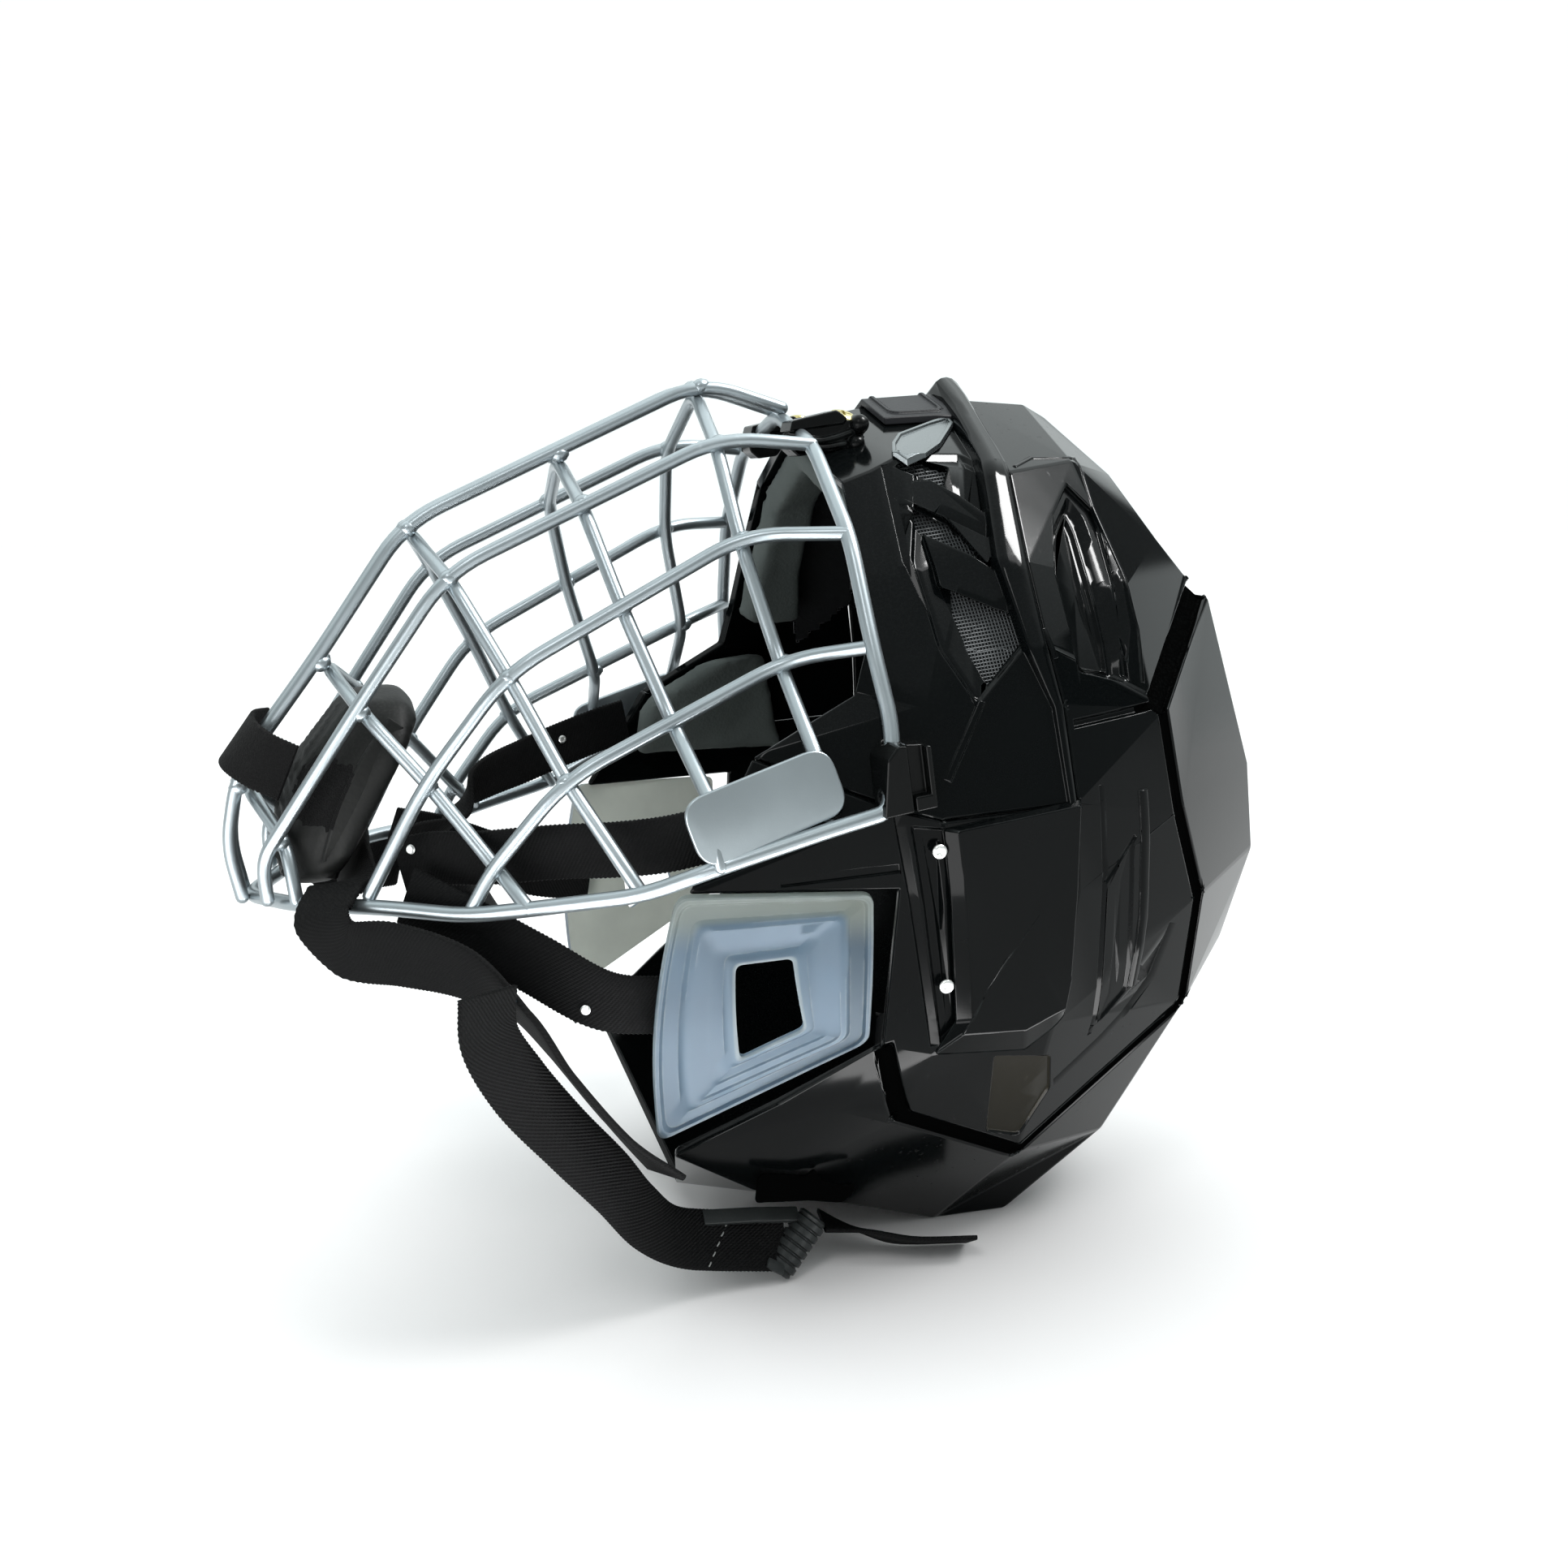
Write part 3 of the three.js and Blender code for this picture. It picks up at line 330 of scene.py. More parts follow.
def spline(points, t):
    """Point at t of the way (0 to 1) along a centripetal Catmull-Rom curve."""
    last = len(points) - 1
    place = min(max(t, 0.0), 1.0) * last
    i = min(int(place), last - 1)
    w = place - i
    p1, p2 = points[i], points[i + 1]
    p0 = points[i - 1] if i > 0 else p1 * 2 - p2
    p3 = points[i + 2] if i + 2 <= last else p2 * 2 - p1
    d0, d1, d2 = (max((b - a).length, 1e-4) ** 0.5 for a, b in ((p0, p1), (p1, p2), (p2, p3)))
    m1 = ((p1 - p0) / d0 - (p2 - p0) / (d0 + d1) + (p2 - p1) / d1) * d1
    m2 = ((p2 - p1) / d1 - (p3 - p1) / (d1 + d2) + (p3 - p2) / d2) * d1
    a = p1 * 2 - p2 * 2 + m1 + m2
    b = p2 * 3 - p1 * 3 - m1 * 2 - m2
    return p1 + m1 * w + b * w * w + a * w * w * w


def sweep(name, points, ups, section):
    """A closed bar: section(k) gives the (aside, up) outline at station k of the path."""
    points = [Vector(p) for p in points]
    count = len(points)
    verts = []
    for k in range(count):
        ahead = (points[min(k + 1, count - 1)] - points[k]).normalized()
        behind = (points[k] - points[max(k - 1, 0)]).normalized()
        along = (ahead + behind).normalized()
        mitre = 1 / max(along.dot(ahead if k < count - 1 else behind), 0.6)
        up = Vector(ups[k])
        up = (up - along * up.dot(along)).normalized()
        aside = along.cross(up)
        for x, y in section(k):
            verts.append(points[k] + aside * (x * mitre) + up * y)
    return outward(mesh_object(name, verts, ring_faces(count, len(section(0)), capped=True)))


def tube(name, points, radius, sides=14, ends=3, closed=False):
    """A round wire along the points, with domed ends or closed on itself."""
    points = [Vector(p) for p in points]
    count = len(points)
    if closed:
        along = [(points[(k + 1) % count] - points[k - 1]).normalized() for k in range(count)]
    else:
        along = [(points[min(k + 1, count - 1)] - points[max(k - 1, 0)]).normalized() for k in range(count)]
    turn = along[0].orthogonal().normalized()
    rings = []
    for point, direction in zip(points, along):
        turn = (turn - direction * turn.dot(direction)).normalized()
        rings.append([point, direction, turn, radius])
    if closed:
        first = rings[0]
        turn = (turn - first[1] * turn.dot(first[1])).normalized()
        twist = math.atan2(turn.cross(first[2]).dot(first[1]), turn.dot(first[2]))
        for k, ring in enumerate(rings):
            ring[2] = Matrix.Rotation(twist * k / count, 3, ring[1]) @ ring[2]
    else:
        first, last = rings[0], rings[-1]
        for k in range(1, ends + 1):
            lean = math.pi / 2 * k / (ends + 0.4)
            shrink, out = radius * math.cos(lean), radius * math.sin(lean)
            rings.insert(0, [first[0] - first[1] * out, first[1], first[2], shrink])
            rings.append([last[0] + last[1] * out, last[1], last[2], shrink])
    verts = []
    for point, direction, across, size in rings:
        other = direction.cross(across)
        for i in range(sides):
            angle = 2 * math.pi * i / sides
            verts.append(point + (across * math.cos(angle) + other * math.sin(angle)) * size)
    return outward(mesh_object(name, verts, ring_faces(len(rings), sides, closed, capped=not closed)))


def prism(outline, low, high, plane="side"):
    """A straight block: [forward, up] corners from low to high left, or [left, up] corners forward."""
    count = len(outline)
    verts = [(p, depth, q) if plane == "side" else (depth, p, q) for depth in (low, high) for p, q in outline]
    faces = [tuple(range(count)), tuple(range(count, 2 * count))]
    for i in range(count):
        j = (i + 1) % count
        faces.append((i, j, count + j, count + i))
    return outward(mesh_object("Prism", verts, faces))


def inset(corners, distance):
    """A flat outline with each edge moved inwards by the distance."""
    area = sum(a[0] * b[1] - b[0] * a[1] for a, b in zip(corners, corners[1:] + corners[:1]))
    turn = 1 if area > 0 else -1
    inward = []
    for corner, after in zip(corners, corners[1:] + corners[:1]):
        way = (Vector(after) - Vector(corner)).normalized()
        inward.append(Vector((-way.y, way.x)) * turn)
    result = []
    for i, corner in enumerate(corners):
        one, two = inward[i - 1], inward[i]
        bend = one.x * two.y - one.y * two.x
        if abs(bend) < 0.08:
            shift = (one + two).normalized() * distance
        else:
            shift = Vector((distance * two.y - distance * one.y, distance * one.x - distance * two.x)) / bend
        result.append(tuple(Vector(corner) + shift))
    return result


# ---- the shell surface
def corner_at(section, column, side):
    """A corner of the shell surface; side is 1 on the left and -1 on the right."""
    forward, left, up = SECTIONS[section][COLUMNS.index(column)]
    return Vector((forward, left * side, up))


def shell_triangles(wanted):
    """Triangles of the wanted cells, each cell split along its outer diagonal."""
    result = []
    for r, (one, two) in enumerate(zip(SECTION_NAMES, SECTION_NAMES[1:])):
        for c, (low, high) in enumerate(zip(COLUMNS, COLUMNS[1:])):
            if not wanted(r, c):
                continue
            for side in (1, -1):
                p = [corner_at(one, low, side), corner_at(one, high, side),
                     corner_at(two, high, side), corner_at(two, low, side)]
                one_way, other_way = (p[0] + p[2]) / 2, (p[1] + p[3]) / 2
                outer = (one_way - SHELL_MIDDLE).length > (other_way - SHELL_MIDDLE).length
                for picks in (((0, 1, 2), (0, 2, 3)) if outer else ((1, 2, 3), (1, 3, 0))):
                    corners = [p[i] for i in picks]
                    if len({tuple(round(v, 2) for v in q) for q in corners}) == 3:
                        result.append(corners if side < 0 else [corners[0], corners[2], corners[1]])
    return result


def key_of(point):
    """A point rounded, to find the same corner again."""
    return tuple(round(v, 2) + 0.0 for v in point)  # adding 0.0 makes -0.0 the same as 0.0


def whole(r, c):
    """The cells of both shells; the ear opening is left out."""
    return not (c == 0 and SECTION_NAMES[r] == "ear")


def fronts(r, c):
    """The cells of the front shell's lower field."""
    return whole(r, c) and r < SECTION_NAMES.index("side") and c < COLUMNS.index("seam")


def corner_normals():
    """Outward direction at each corner of the shell surface, by the corner's key."""
    found = {}
    for a, b, c in shell_triangles(lambda r, c: True):
        for corner in (a, b, c):
            way = found.get(key_of(corner), Vector())
            found[key_of(corner)] = way + (b - a).cross(c - a).normalized()
    return {key: way.normalized() for key, way in found.items()}


CORNER_NORMALS = corner_normals()


def layer(wanted, outer, inner):
    """A wall over the wanted cells, from outer to inner millimetres outside the shell surface."""
    verts, index, faces, edges = [], {}, [], {}

    def vertex(point, offset):
        key = (key_of(point), offset)
        if key not in index:
            index[key] = len(verts)
            verts.append(point + CORNER_NORMALS[key_of(point)] * offset)
        return index[key]

    for corners in shell_triangles(wanted):
        top = [vertex(p, outer) for p in corners]
        bottom = [vertex(p, inner) for p in corners]
        faces += [tuple(top), tuple(bottom[::-1])]
        for i in range(3):
            j = (i + 1) % 3
            if (top[j], top[i]) in edges:
                del edges[(top[j], top[i])]
            else:
                edges[(top[i], top[j])] = (top[i], top[j], bottom[i], bottom[j])
    for a, b, c, d in edges.values():
        faces += [(b, a, c), (b, c, d)]
    return outward(mesh_object("Layer", verts, faces))


# ---- node tools
def put(tree, kind, inputs=None, **settings):
    """Adds a node; an input's value may be a socket to link from."""
    node = tree.nodes.new(kind)
    for name, value in settings.items():
        setattr(node, name, value)
    feed(tree, node, inputs or {})
    return node


def feed(tree, node, inputs):
    """Links or sets each named input of a node."""
    for name, value in inputs.items():
        if isinstance(value, bpy.types.NodeSocket):
            tree.links.new(value, node.inputs[name])
        else:
            node.inputs[name].default_value = value


def math_node(tree, operation, *values):
    """The result of a Math node."""
    return put(tree, "ShaderNodeMath", dict(enumerate(values)), operation=operation).outputs[0]


def ramp(tree, value, low, high, start=0.0, end=1.0, smooth=False):
    """A value that goes from start to end as the given one goes from low to high."""
    limits = {"From Min": low, "From Max": high, "To Min": start, "To Max": end}
    kind = "SMOOTHSTEP" if smooth else "LINEAR"
    return put(tree, "ShaderNodeMapRange", {"Value": value, **limits}, interpolation_type=kind).outputs[0]


def object_place(tree):
    """The object's own coordinates."""
    return put(tree, "ShaderNodeTexCoord").outputs["Object"]


def noise(tree, place, scale, detail=2.0, distortion=0.0):
    """The value of a noise texture."""
    return put(tree, "ShaderNodeTexNoise", {"Vector": place, "Scale": scale, "Detail": detail,
                                            "Distortion": distortion}).outputs[0]


def new_group(name, kind, inputs, outputs):
    """An empty node group with named sockets: (name, socket type, default)."""
    tree = bpy.data.node_groups.new(name, kind)
    for label, socket, default in inputs:
        item = tree.interface.new_socket(label, in_out="INPUT", socket_type=socket)
        if default is not None:
            item.default_value = default
    for label, socket in outputs:
        tree.interface.new_socket(label, in_out="OUTPUT", socket_type=socket)
    start = tree.nodes.new("NodeGroupInput")
    end = tree.nodes.new("NodeGroupOutput")
    return tree, start.outputs, end


FLOAT = "NodeSocketFloat"


def group_once(build):
    """Builds a node group the first time that it is asked for."""
    def find():
        tree = bpy.data.node_groups.get(build.__name__)
        return tree if tree is not None else build(build.__name__)
    return find


@group_once
def moulded_grain(name):
    """Fine sparkle of moulded plastic or foam, as a height."""
    tree, given, out = new_group(name, "ShaderNodeTree", [("Scale", FLOAT, 900.0), ("Mottle", FLOAT, 0.3)],
                                 [("Height", FLOAT), ("Mottled", FLOAT)])
    place = object_place(tree)
    away = math_node(tree, "SUBTRACT", noise(tree, place, 38.0, 4.0), 0.5)
    feed(tree, out, {"Height": noise(tree, place, given["Scale"], 3.0),
                     "Mottled": math_node(tree, "MULTIPLY_ADD", away, given["Mottle"], 1.0)})
    return tree


@group_once
def handling_marks(name):
    """Roughness with smears and hairline scratches from handling."""
    tree, given, out = new_group(
        name, "ShaderNodeTree", [("Roughness", FLOAT, 0.2), ("Smear", FLOAT, 0.1), ("Scratch", FLOAT, 0.15)],
        [("Roughness", FLOAT)])
    place = object_place(tree)
    long_way = put(tree, "ShaderNodeMapping", {"Vector": place, "Rotation": (0.4, 0.9, 0.2),
                                               "Scale": (1.0, 1.0, 0.08)}).outputs[0]
    lines = ramp(tree, noise(tree, long_way, 620.0), 0.66, 0.74)
    where = ramp(tree, noise(tree, place, 9.0), 0.5, 0.65)
    mask = math_node(tree, "MULTIPLY", lines, where)
    away = math_node(tree, "SUBTRACT", noise(tree, place, 21.0, 5.0, 0.6), 0.5)
    rough = math_node(tree, "MULTIPLY_ADD", away, given["Smear"], given["Roughness"])
    feed(tree, out, {"Roughness": math_node(tree, "MULTIPLY_ADD", mask, given["Scratch"], rough)})
    return tree


@group_once
def edge_wear(name):
    """A mask along convex edges, broken up by noise."""
    tree, given, out = new_group(name, "ShaderNodeTree", [("Reach", FLOAT, 0.0011), ("Amount", FLOAT, 0.6)],
                                 [("Mask", FLOAT)])
    round_off = put(tree, "ShaderNodeBevel", {"Radius": given["Reach"]}, samples=4).outputs[0]
    true_face = put(tree, "ShaderNodeNewGeometry").outputs["Normal"]
    lean = put(tree, "ShaderNodeVectorMath", {0: round_off, 1: true_face}, operation="DOT_PRODUCT")
    bent = ramp(tree, lean.outputs["Value"], 0.985, 0.85)
    broken = ramp(tree, noise(tree, object_place(tree), 170.0, 3.0), 0.35, 0.7)
    mask = math_node(tree, "MULTIPLY", bent, broken)
    feed(tree, out, {"Mask": math_node(tree, "MULTIPLY", mask, given["Amount"])})
    return tree


@group_once
def dust(name):
    """Light dust that lies on faces which look up."""
    tree, given, out = new_group(name, "ShaderNodeTree", [("Amount", FLOAT, 0.1)], [("Mask", FLOAT)])
    face = put(tree, "ShaderNodeNewGeometry").outputs["Normal"]
    lying = ramp(tree, put(tree, "ShaderNodeSeparateXYZ", {0: face}).outputs[2], 0.1, 0.9)
    spots = ramp(tree, noise(tree, object_place(tree), 1300.0), 0.45, 0.75)
    mask = math_node(tree, "MULTIPLY", lying, spots)
    feed(tree, out, {"Mask": math_node(tree, "MULTIPLY", mask, given["Amount"])})
    return tree


@group_once
def webbing_weave(name):
    """Twill of narrow webbing on its own UV map, in metres: a height and a painted shade, darker in the
    hollows.
    """
    tree, given, out = new_group(name, "ShaderNodeTree", [("Pitch", FLOAT, 0.0011), ("Slant", FLOAT, 0.6)],
                                 [("Height", FLOAT), ("Shade", FLOAT)])
    place = put(tree, "ShaderNodeUVMap", uv_map="Weave").outputs[0]
    parts = put(tree, "ShaderNodeSeparateXYZ", {0: place})
    across = math_node(tree, "DIVIDE", parts.outputs[0], given["Pitch"])
    along = math_node(tree, "DIVIDE", parts.outputs[1], given["Pitch"])
    leaning = math_node(tree, "MULTIPLY_ADD", across, given["Slant"], along)
    ridge = math_node(tree, "SINE", math_node(tree, "MULTIPLY", leaning, 2 * math.pi))
    thread = math_node(tree, "SINE", math_node(tree, "MULTIPLY", across, 4 * math.pi))
    crossing = math_node(tree, "MULTIPLY_ADD", thread, 0.35, ridge)
    height = math_node(tree, "MULTIPLY_ADD", crossing, 0.3, 0.5)
    fuzz = noise(tree, place, 2400.0)
    # Shade is painted shade: darker in the weave's hollows and lighter on its ridges.
    feed(tree, out, {"Height": math_node(tree, "MULTIPLY_ADD", fuzz, 0.3, height),
                     "Shade": math_node(tree, "MULTIPLY_ADD", height, 0.7, 0.55)})
    return tree


# ---- finishes
def new_material(name):
    """A new material with its node tree and its shader."""
    material = bpy.data.materials.new(name)
    material.use_nodes = True
    tree = material.node_tree
    return material, tree, tree.nodes["Principled BSDF"]


def group_node(tree, builder, **inputs):
    """The outputs of a shader group placed in the tree with its own values."""
    return put(tree, "ShaderNodeGroup", inputs, node_tree=builder()).outputs


def tinted(tree, base, other, mask):
    """Colour socket of base mixed towards other by the mask."""
    base, other = (value if isinstance(value, bpy.types.NodeSocket) else (*value, 1)
                   for value in (base, other))
    return put(tree, "ShaderNodeMix", {0: mask, 6: base, 7: other}, data_type="RGBA").outputs[2]


def scaled_colour(tree, colour, factor):
    """A colour made lighter or darker by a factor."""
    return put(tree, "ShaderNodeVectorMath", {0: colour, 3: factor}, operation="SCALE").outputs[0]


def relief(tree, height, strength, distance):
    """Normal of a surface with a fine height on it."""
    return put(tree, "ShaderNodeBump",
               {"Strength": strength, "Distance": distance, "Height": height}).outputs[0]


def plastic(name, colour, roughness, smear=0.1, wear=0.3, grain=0.01, shine=0.1):
    """Moulded plastic with handling marks, rubbed edges, grain and a little dust."""
    material, tree, shader = new_material(name)
    marks = group_node(tree, handling_marks, Roughness=roughness, Smear=smear, Scratch=0.2)
    rubbed = group_node(tree, edge_wear, Reach=0.0006, Amount=wear)["Mask"]
    grains = group_node(tree, moulded_grain, Scale=1500.0, Mottle=0.5)
    dusty = group_node(tree, dust, Amount=0.015)["Mask"]
    base = scaled_colour(tree, colour, grains["Mottled"])
    worn = tinted(tree, base, (0.07, 0.08, 0.08), rubbed)
    feed(tree, shader, {
        "Base Color": tinted(tree, worn, (0.3, 0.31, 0.3), dusty),
        "Roughness": math_node(tree, "MULTIPLY_ADD", rubbed, 0.2, marks["Roughness"]),
        "Specular IOR Level": shine,
        "Normal": relief(tree, grains["Height"], grain, 0.0002)})
    return material


def metal(name, colour, roughness, metallic=0.9, brushed=0.3):
    """Coated wire or a plated fitting, with faint brushing and dull spots."""
    material, tree, shader = new_material(name)
    marks = group_node(tree, handling_marks, Roughness=roughness, Smear=0.16, Scratch=0.15)
    grains = group_node(tree, moulded_grain, Scale=2200.0, Mottle=0.35)
    feed(tree, shader, {
        "Base Color": scaled_colour(tree, colour, grains["Mottled"]),
        "Roughness": marks["Roughness"],
        "Metallic": metallic,
        "Normal": relief(tree, grains["Height"], brushed, 0.00005)})
    return material


def foam(name, colour, roughness=0.85, scale=650.0, depth=0.35, mottle=0.5):
    """Closed-cell foam or its fabric skin: fine cells, mottled, no gloss."""
    material, tree, shader = new_material(name)
    grains = group_node(tree, moulded_grain, Scale=scale, Mottle=mottle)
    dusty = group_node(tree, dust, Amount=0.03)["Mask"]
    base = scaled_colour(tree, colour, grains["Mottled"])
    cells = put(tree, "ShaderNodeTexVoronoi", {"Vector": object_place(tree), "Scale": scale * 1.4}).outputs[0]
    height = math_node(tree, "MULTIPLY_ADD", cells, 0.5, grains["Height"])
    feed(tree, shader, {
        "Base Color": tinted(tree, base, (0.45, 0.45, 0.42), dusty),
        "Roughness": roughness,
        "Specular IOR Level": 0.15,
        "Normal": relief(tree, height, depth, 0.0004)})
    return material


def webbing_finish(name, colour, pitch=0.0011, slant=0.6, depth=0.5):
    """Woven polyester webbing."""
    material, tree, shader = new_material(name)
    weave = group_node(tree, webbing_weave, Pitch=pitch, Slant=slant)
    grains = group_node(tree, moulded_grain, Scale=900.0, Mottle=0.6)
    dusty = group_node(tree, dust, Amount=0.02)["Mask"]
    # The colour takes the weave's painted shade.
    shaded = scaled_colour(tree, scaled_colour(tree, colour, weave["Shade"]), grains["Mottled"])
    feed(tree, shader, {
        "Base Color": tinted(tree, shaded, (0.35, 0.35, 0.33), dusty),
        "Roughness": 0.78,
        "Specular IOR Level": 0.1,
        "Normal": relief(tree, weave["Height"], depth, 0.00035)})
    return material


def cloudy_plastic(name, colour):
    """Translucent moulded ear guard plastic: painted highlight on the rims, a band of painted shade and a
    yellowish top.
    """
    material, tree, shader = new_material(name)
    marks = group_node(tree, handling_marks, Roughness=0.45, Smear=0.12, Scratch=0.2)
    # Rubbed edges, lightened strongly: partly wear and partly painted highlight along the guard's edges.
    rubbed = group_node(tree, edge_wear, Reach=0.0009, Amount=0.8)["Mask"]
    grains = group_node(tree, moulded_grain, Scale=300.0, Mottle=0.3)
    up, _, forward = put(tree, "ShaderNodeSeparateXYZ", {0: object_place(tree)}).outputs
    ring = put(tree, "ShaderNodeAttribute", attribute_name="ring").outputs["Fac"]

    def soft_ramp(value, low, high, end=1.0):
        return ramp(tree, value, low, high, end=end, smooth=True)

    # Painted shade: the band from the edge in to the first step is darkened towards the helmet's top.
    band = math_node(tree, "MULTIPLY", soft_ramp(ring, 0.05, 0.12), soft_ramp(ring, 0.36, 0.3))
    deep = math_node(tree, "MULTIPLY", band, soft_ramp(up, -0.05, 0.0, 0.75))
    # A yellowish tint on the outer band towards the helmet's front.
    top_tint = math_node(tree, "MULTIPLY", soft_ramp(forward, 0.112, 0.124, 0.6), soft_ramp(ring, 0.4, 0.3))
    # Painted highlight: the outer edge and the window rim are lightened.
    pale = math_node(tree, "MAXIMUM", soft_ramp(ring, 0.94, 0.98, 0.6), soft_ramp(ring, 0.05, 0.01, 0.4))
    tone = colour
    for tint, mask in (((0.06, 0.095, 0.135), deep), ((0.36, 0.37, 0.3), top_tint), ((0.4, 0.45, 0.46), pale)):
        tone = tinted(tree, tone, tint, mask)
    mottled = scaled_colour(tree, tone, grains["Mottled"])
    feed(tree, shader, {
        "Base Color": tinted(tree, mottled, (0.6, 0.64, 0.65), rubbed),
        "Roughness": marks["Roughness"],
        "Transmission Weight": 0.45,
        "IOR": 1.45,
        "Specular IOR Level": 0.15})
    return material


FINISHES = {  # how each is made; a word stands for a value of that name that a user may change
    "shell_gloss": (plastic, {"colour": "shell_colour", "roughness": "shell_gloss", "smear": 0.08}),
    "shell_satin": (plastic, {"colour": "shell_colour", "roughness": "shell_satin", "smear": 0.12}),
    "fitting_black": (plastic, {"colour": (0.0035, 0.004, 0.004), "roughness": 0.24, "smear": 0.2,
                                "grain": 0.05}),
    "smoked_plastic": (plastic, {"colour": (0.011, 0.009, 0.004), "roughness": 0.3}),
    # Also the painted shade in the rear shell's crown gap and side groove.
    "matt_black": (plastic, {"colour": (0.0015, 0.0016, 0.0016), "roughness": 0.8, "wear": 0.0,
                             "shine": 0.0}),
    "roller_grey": (plastic, {"colour": (0.03, 0.033, 0.033), "roughness": 0.35, "grain": 0.05}),
    "badge_plate": (plastic, {"colour": (0.022, 0.022, 0.025), "roughness": 0.4, "grain": 0.2}),
    # Near-white plastic of the guards' inner faces: painted light shining through the guard.
    "ear_inside": (plastic, {"colour": (0.8, 0.84, 0.76), "roughness": 0.5}),
    "cage_coat": (metal, {"colour": "cage_colour", "roughness": 0.33, "metallic": 0.8}),
    "bright_metal": (metal, {"colour": (0.13, 0.145, 0.15), "roughness": 0.24, "metallic": 0.7,
                             "brushed": 0.1}),
    "brass_metal": (metal, {"colour": (0.5, 0.44, 0.2), "roughness": 0.3, "metallic": 0.95, "brushed": 0.2}),
    "snap_metal": (metal, {"colour": (0.85, 0.86, 0.84), "roughness": 0.28, "metallic": 0.6, "brushed": 0.1}),
    "mesh_insert": (metal, {"colour": (0.07, 0.075, 0.078), "roughness": 0.5, "metallic": 0.3,
                            "brushed": 0.1}),
    "ear_plastic": (cloudy_plastic, {"colour": "guard_colour"}),
    "brow_foam": (foam, {"colour": "foam_colour"}),
    # Dark foam of the pads, and also the painted shade sheet behind the vent mesh.
    "dark_foam": (foam, {"colour": (0.012, 0.013, 0.014), "roughness": 0.7}),
    "cup_skin": (foam, {"colour": (0.009, 0.0095, 0.009), "roughness": 0.55, "scale": 480.0, "depth": 0.2,
                        "mottle": 0.7}),
    "thread": (foam, {"colour": (0.3, 0.31, 0.3), "roughness": 0.7}),
    "hook_loop": (foam, {"colour": (0.0018, 0.0018, 0.002), "roughness": 0.9, "scale": 1500.0, "depth": 0.9,
                         "mottle": 0.9}),
    "webbing_black": (webbing_finish, {"colour": "strap_colour"}),
    "webbing_ribbed": (webbing_finish, {"colour": "strap_colour", "pitch": 0.0016, "slant": 1.4,
                                        "depth": 1.0}),
}
MADE = {}


def finish(name):
    """The material of one finish, built when it is first used."""
    if name not in MADE:
        maker, settings = FINISHES[name]
        look = bpy.context.scene.helmet_finish
        MADE[name] = maker(name, **{key: getattr(look, value) if isinstance(value, str) else value
                                    for key, value in settings.items()})
    return MADE[name]


# ---- following the shell
FAR_LEFT = 160  # well outside the shell
SIDE_REACH = (18, 118)  # from and to how far left a side outline cuts
FRONT_REACH = (60, 140)  # the same forwards, for a front outline
FRONT_CUT = (50, 150)  # and for what cuts such a piece
SHELL_TREE = {}


def shell_tree():
    """Search tree of the shell's outer face, built once."""
    if "tree" not in SHELL_TREE:
        skin = layer(whole, 0, -WALL)
        SHELL_TREE["tree"] = BVHTree.FromPolygons(
            [v.co.copy() for v in skin.data.vertices], [tuple(p.vertices) for p in skin.data.polygons])
        discard(skin)
    return SHELL_TREE["tree"]


def on_shell(forward, up):
    """Point and outward direction of the shell's outer face at a place in the view from the left."""
    point, normal, _, _ = shell_tree().ray_cast(Vector((forward, FAR_LEFT, up)), Vector((0, -1, 0)))
    if point is None:
        raise RuntimeError(f"there is no shell at forward {forward}, up {up}")
    return point, normal if normal.y > 0 else -normal


def evened(ways, rounds, closed=False):
    """Directions, each averaged with its neighbours a number of times."""
    for _ in range(rounds):
        row = [ways[-1], *ways, ways[0]] if closed else [ways[0], *ways, ways[-1]]
        ways = [(before + way * 2 + after).normalized() for before, way, after in zip(row, row[1:], row[2:])]
    return ways


def follow(path, step=4.0):
    """Points and outward directions along a path of (forward, up) places on the left side."""
    spots = []
    for (f0, u0), (f1, u1) in zip(path, path[1:]):
        count = max(1, round(math.dist((f0, u0), (f1, u1)) / step))
        spots += [on_shell(f0 + (f1 - f0) * k / count, u0 + (u1 - u0) * k / count) for k in range(count)]
    spots.append(on_shell(*path[-1]))
    return [point for point, _ in spots], evened([normal for _, normal in spots], 2)


def bar_on_shell(path, outline, step=4.0):
    """A bar along the shell with a cross-section of [aside, up] corners; aside is right of the way."""
    points, ups = follow(path, step)
    return sweep("Bar", points, ups, lambda k: outline)


def field(outline, outer, inner):
    """The part of an offset wall that lies inside a side outline."""
    return combine(layer(whole, outer, inner), "INTERSECT", [prism(outline, *SIDE_REACH)])


def ring_on_shell(corners, radius, depth):
    """Points of a rounded outline laid on the shell and sunk by depth."""
    bends, steps, pieces = rounded_outline(corners, radius, 4), 5, 6
    flat = []
    for i in range(len(corners)):
        bend = bends[i * steps:(i + 1) * steps]
        start, end = Vector(bend[-1]), Vector(bends[(i + 1) * steps % len(bends)])
        flat += [Vector(p) for p in bend] + [start.lerp(end, k / pieces) for k in range(1, pieces)]
    spots = [on_shell(p.x, p.y) for p in flat]
    normals = evened([normal for _, normal in spots], 3, closed=True)
    return [point - normal * depth for (point, _), normal in zip(spots, normals)]


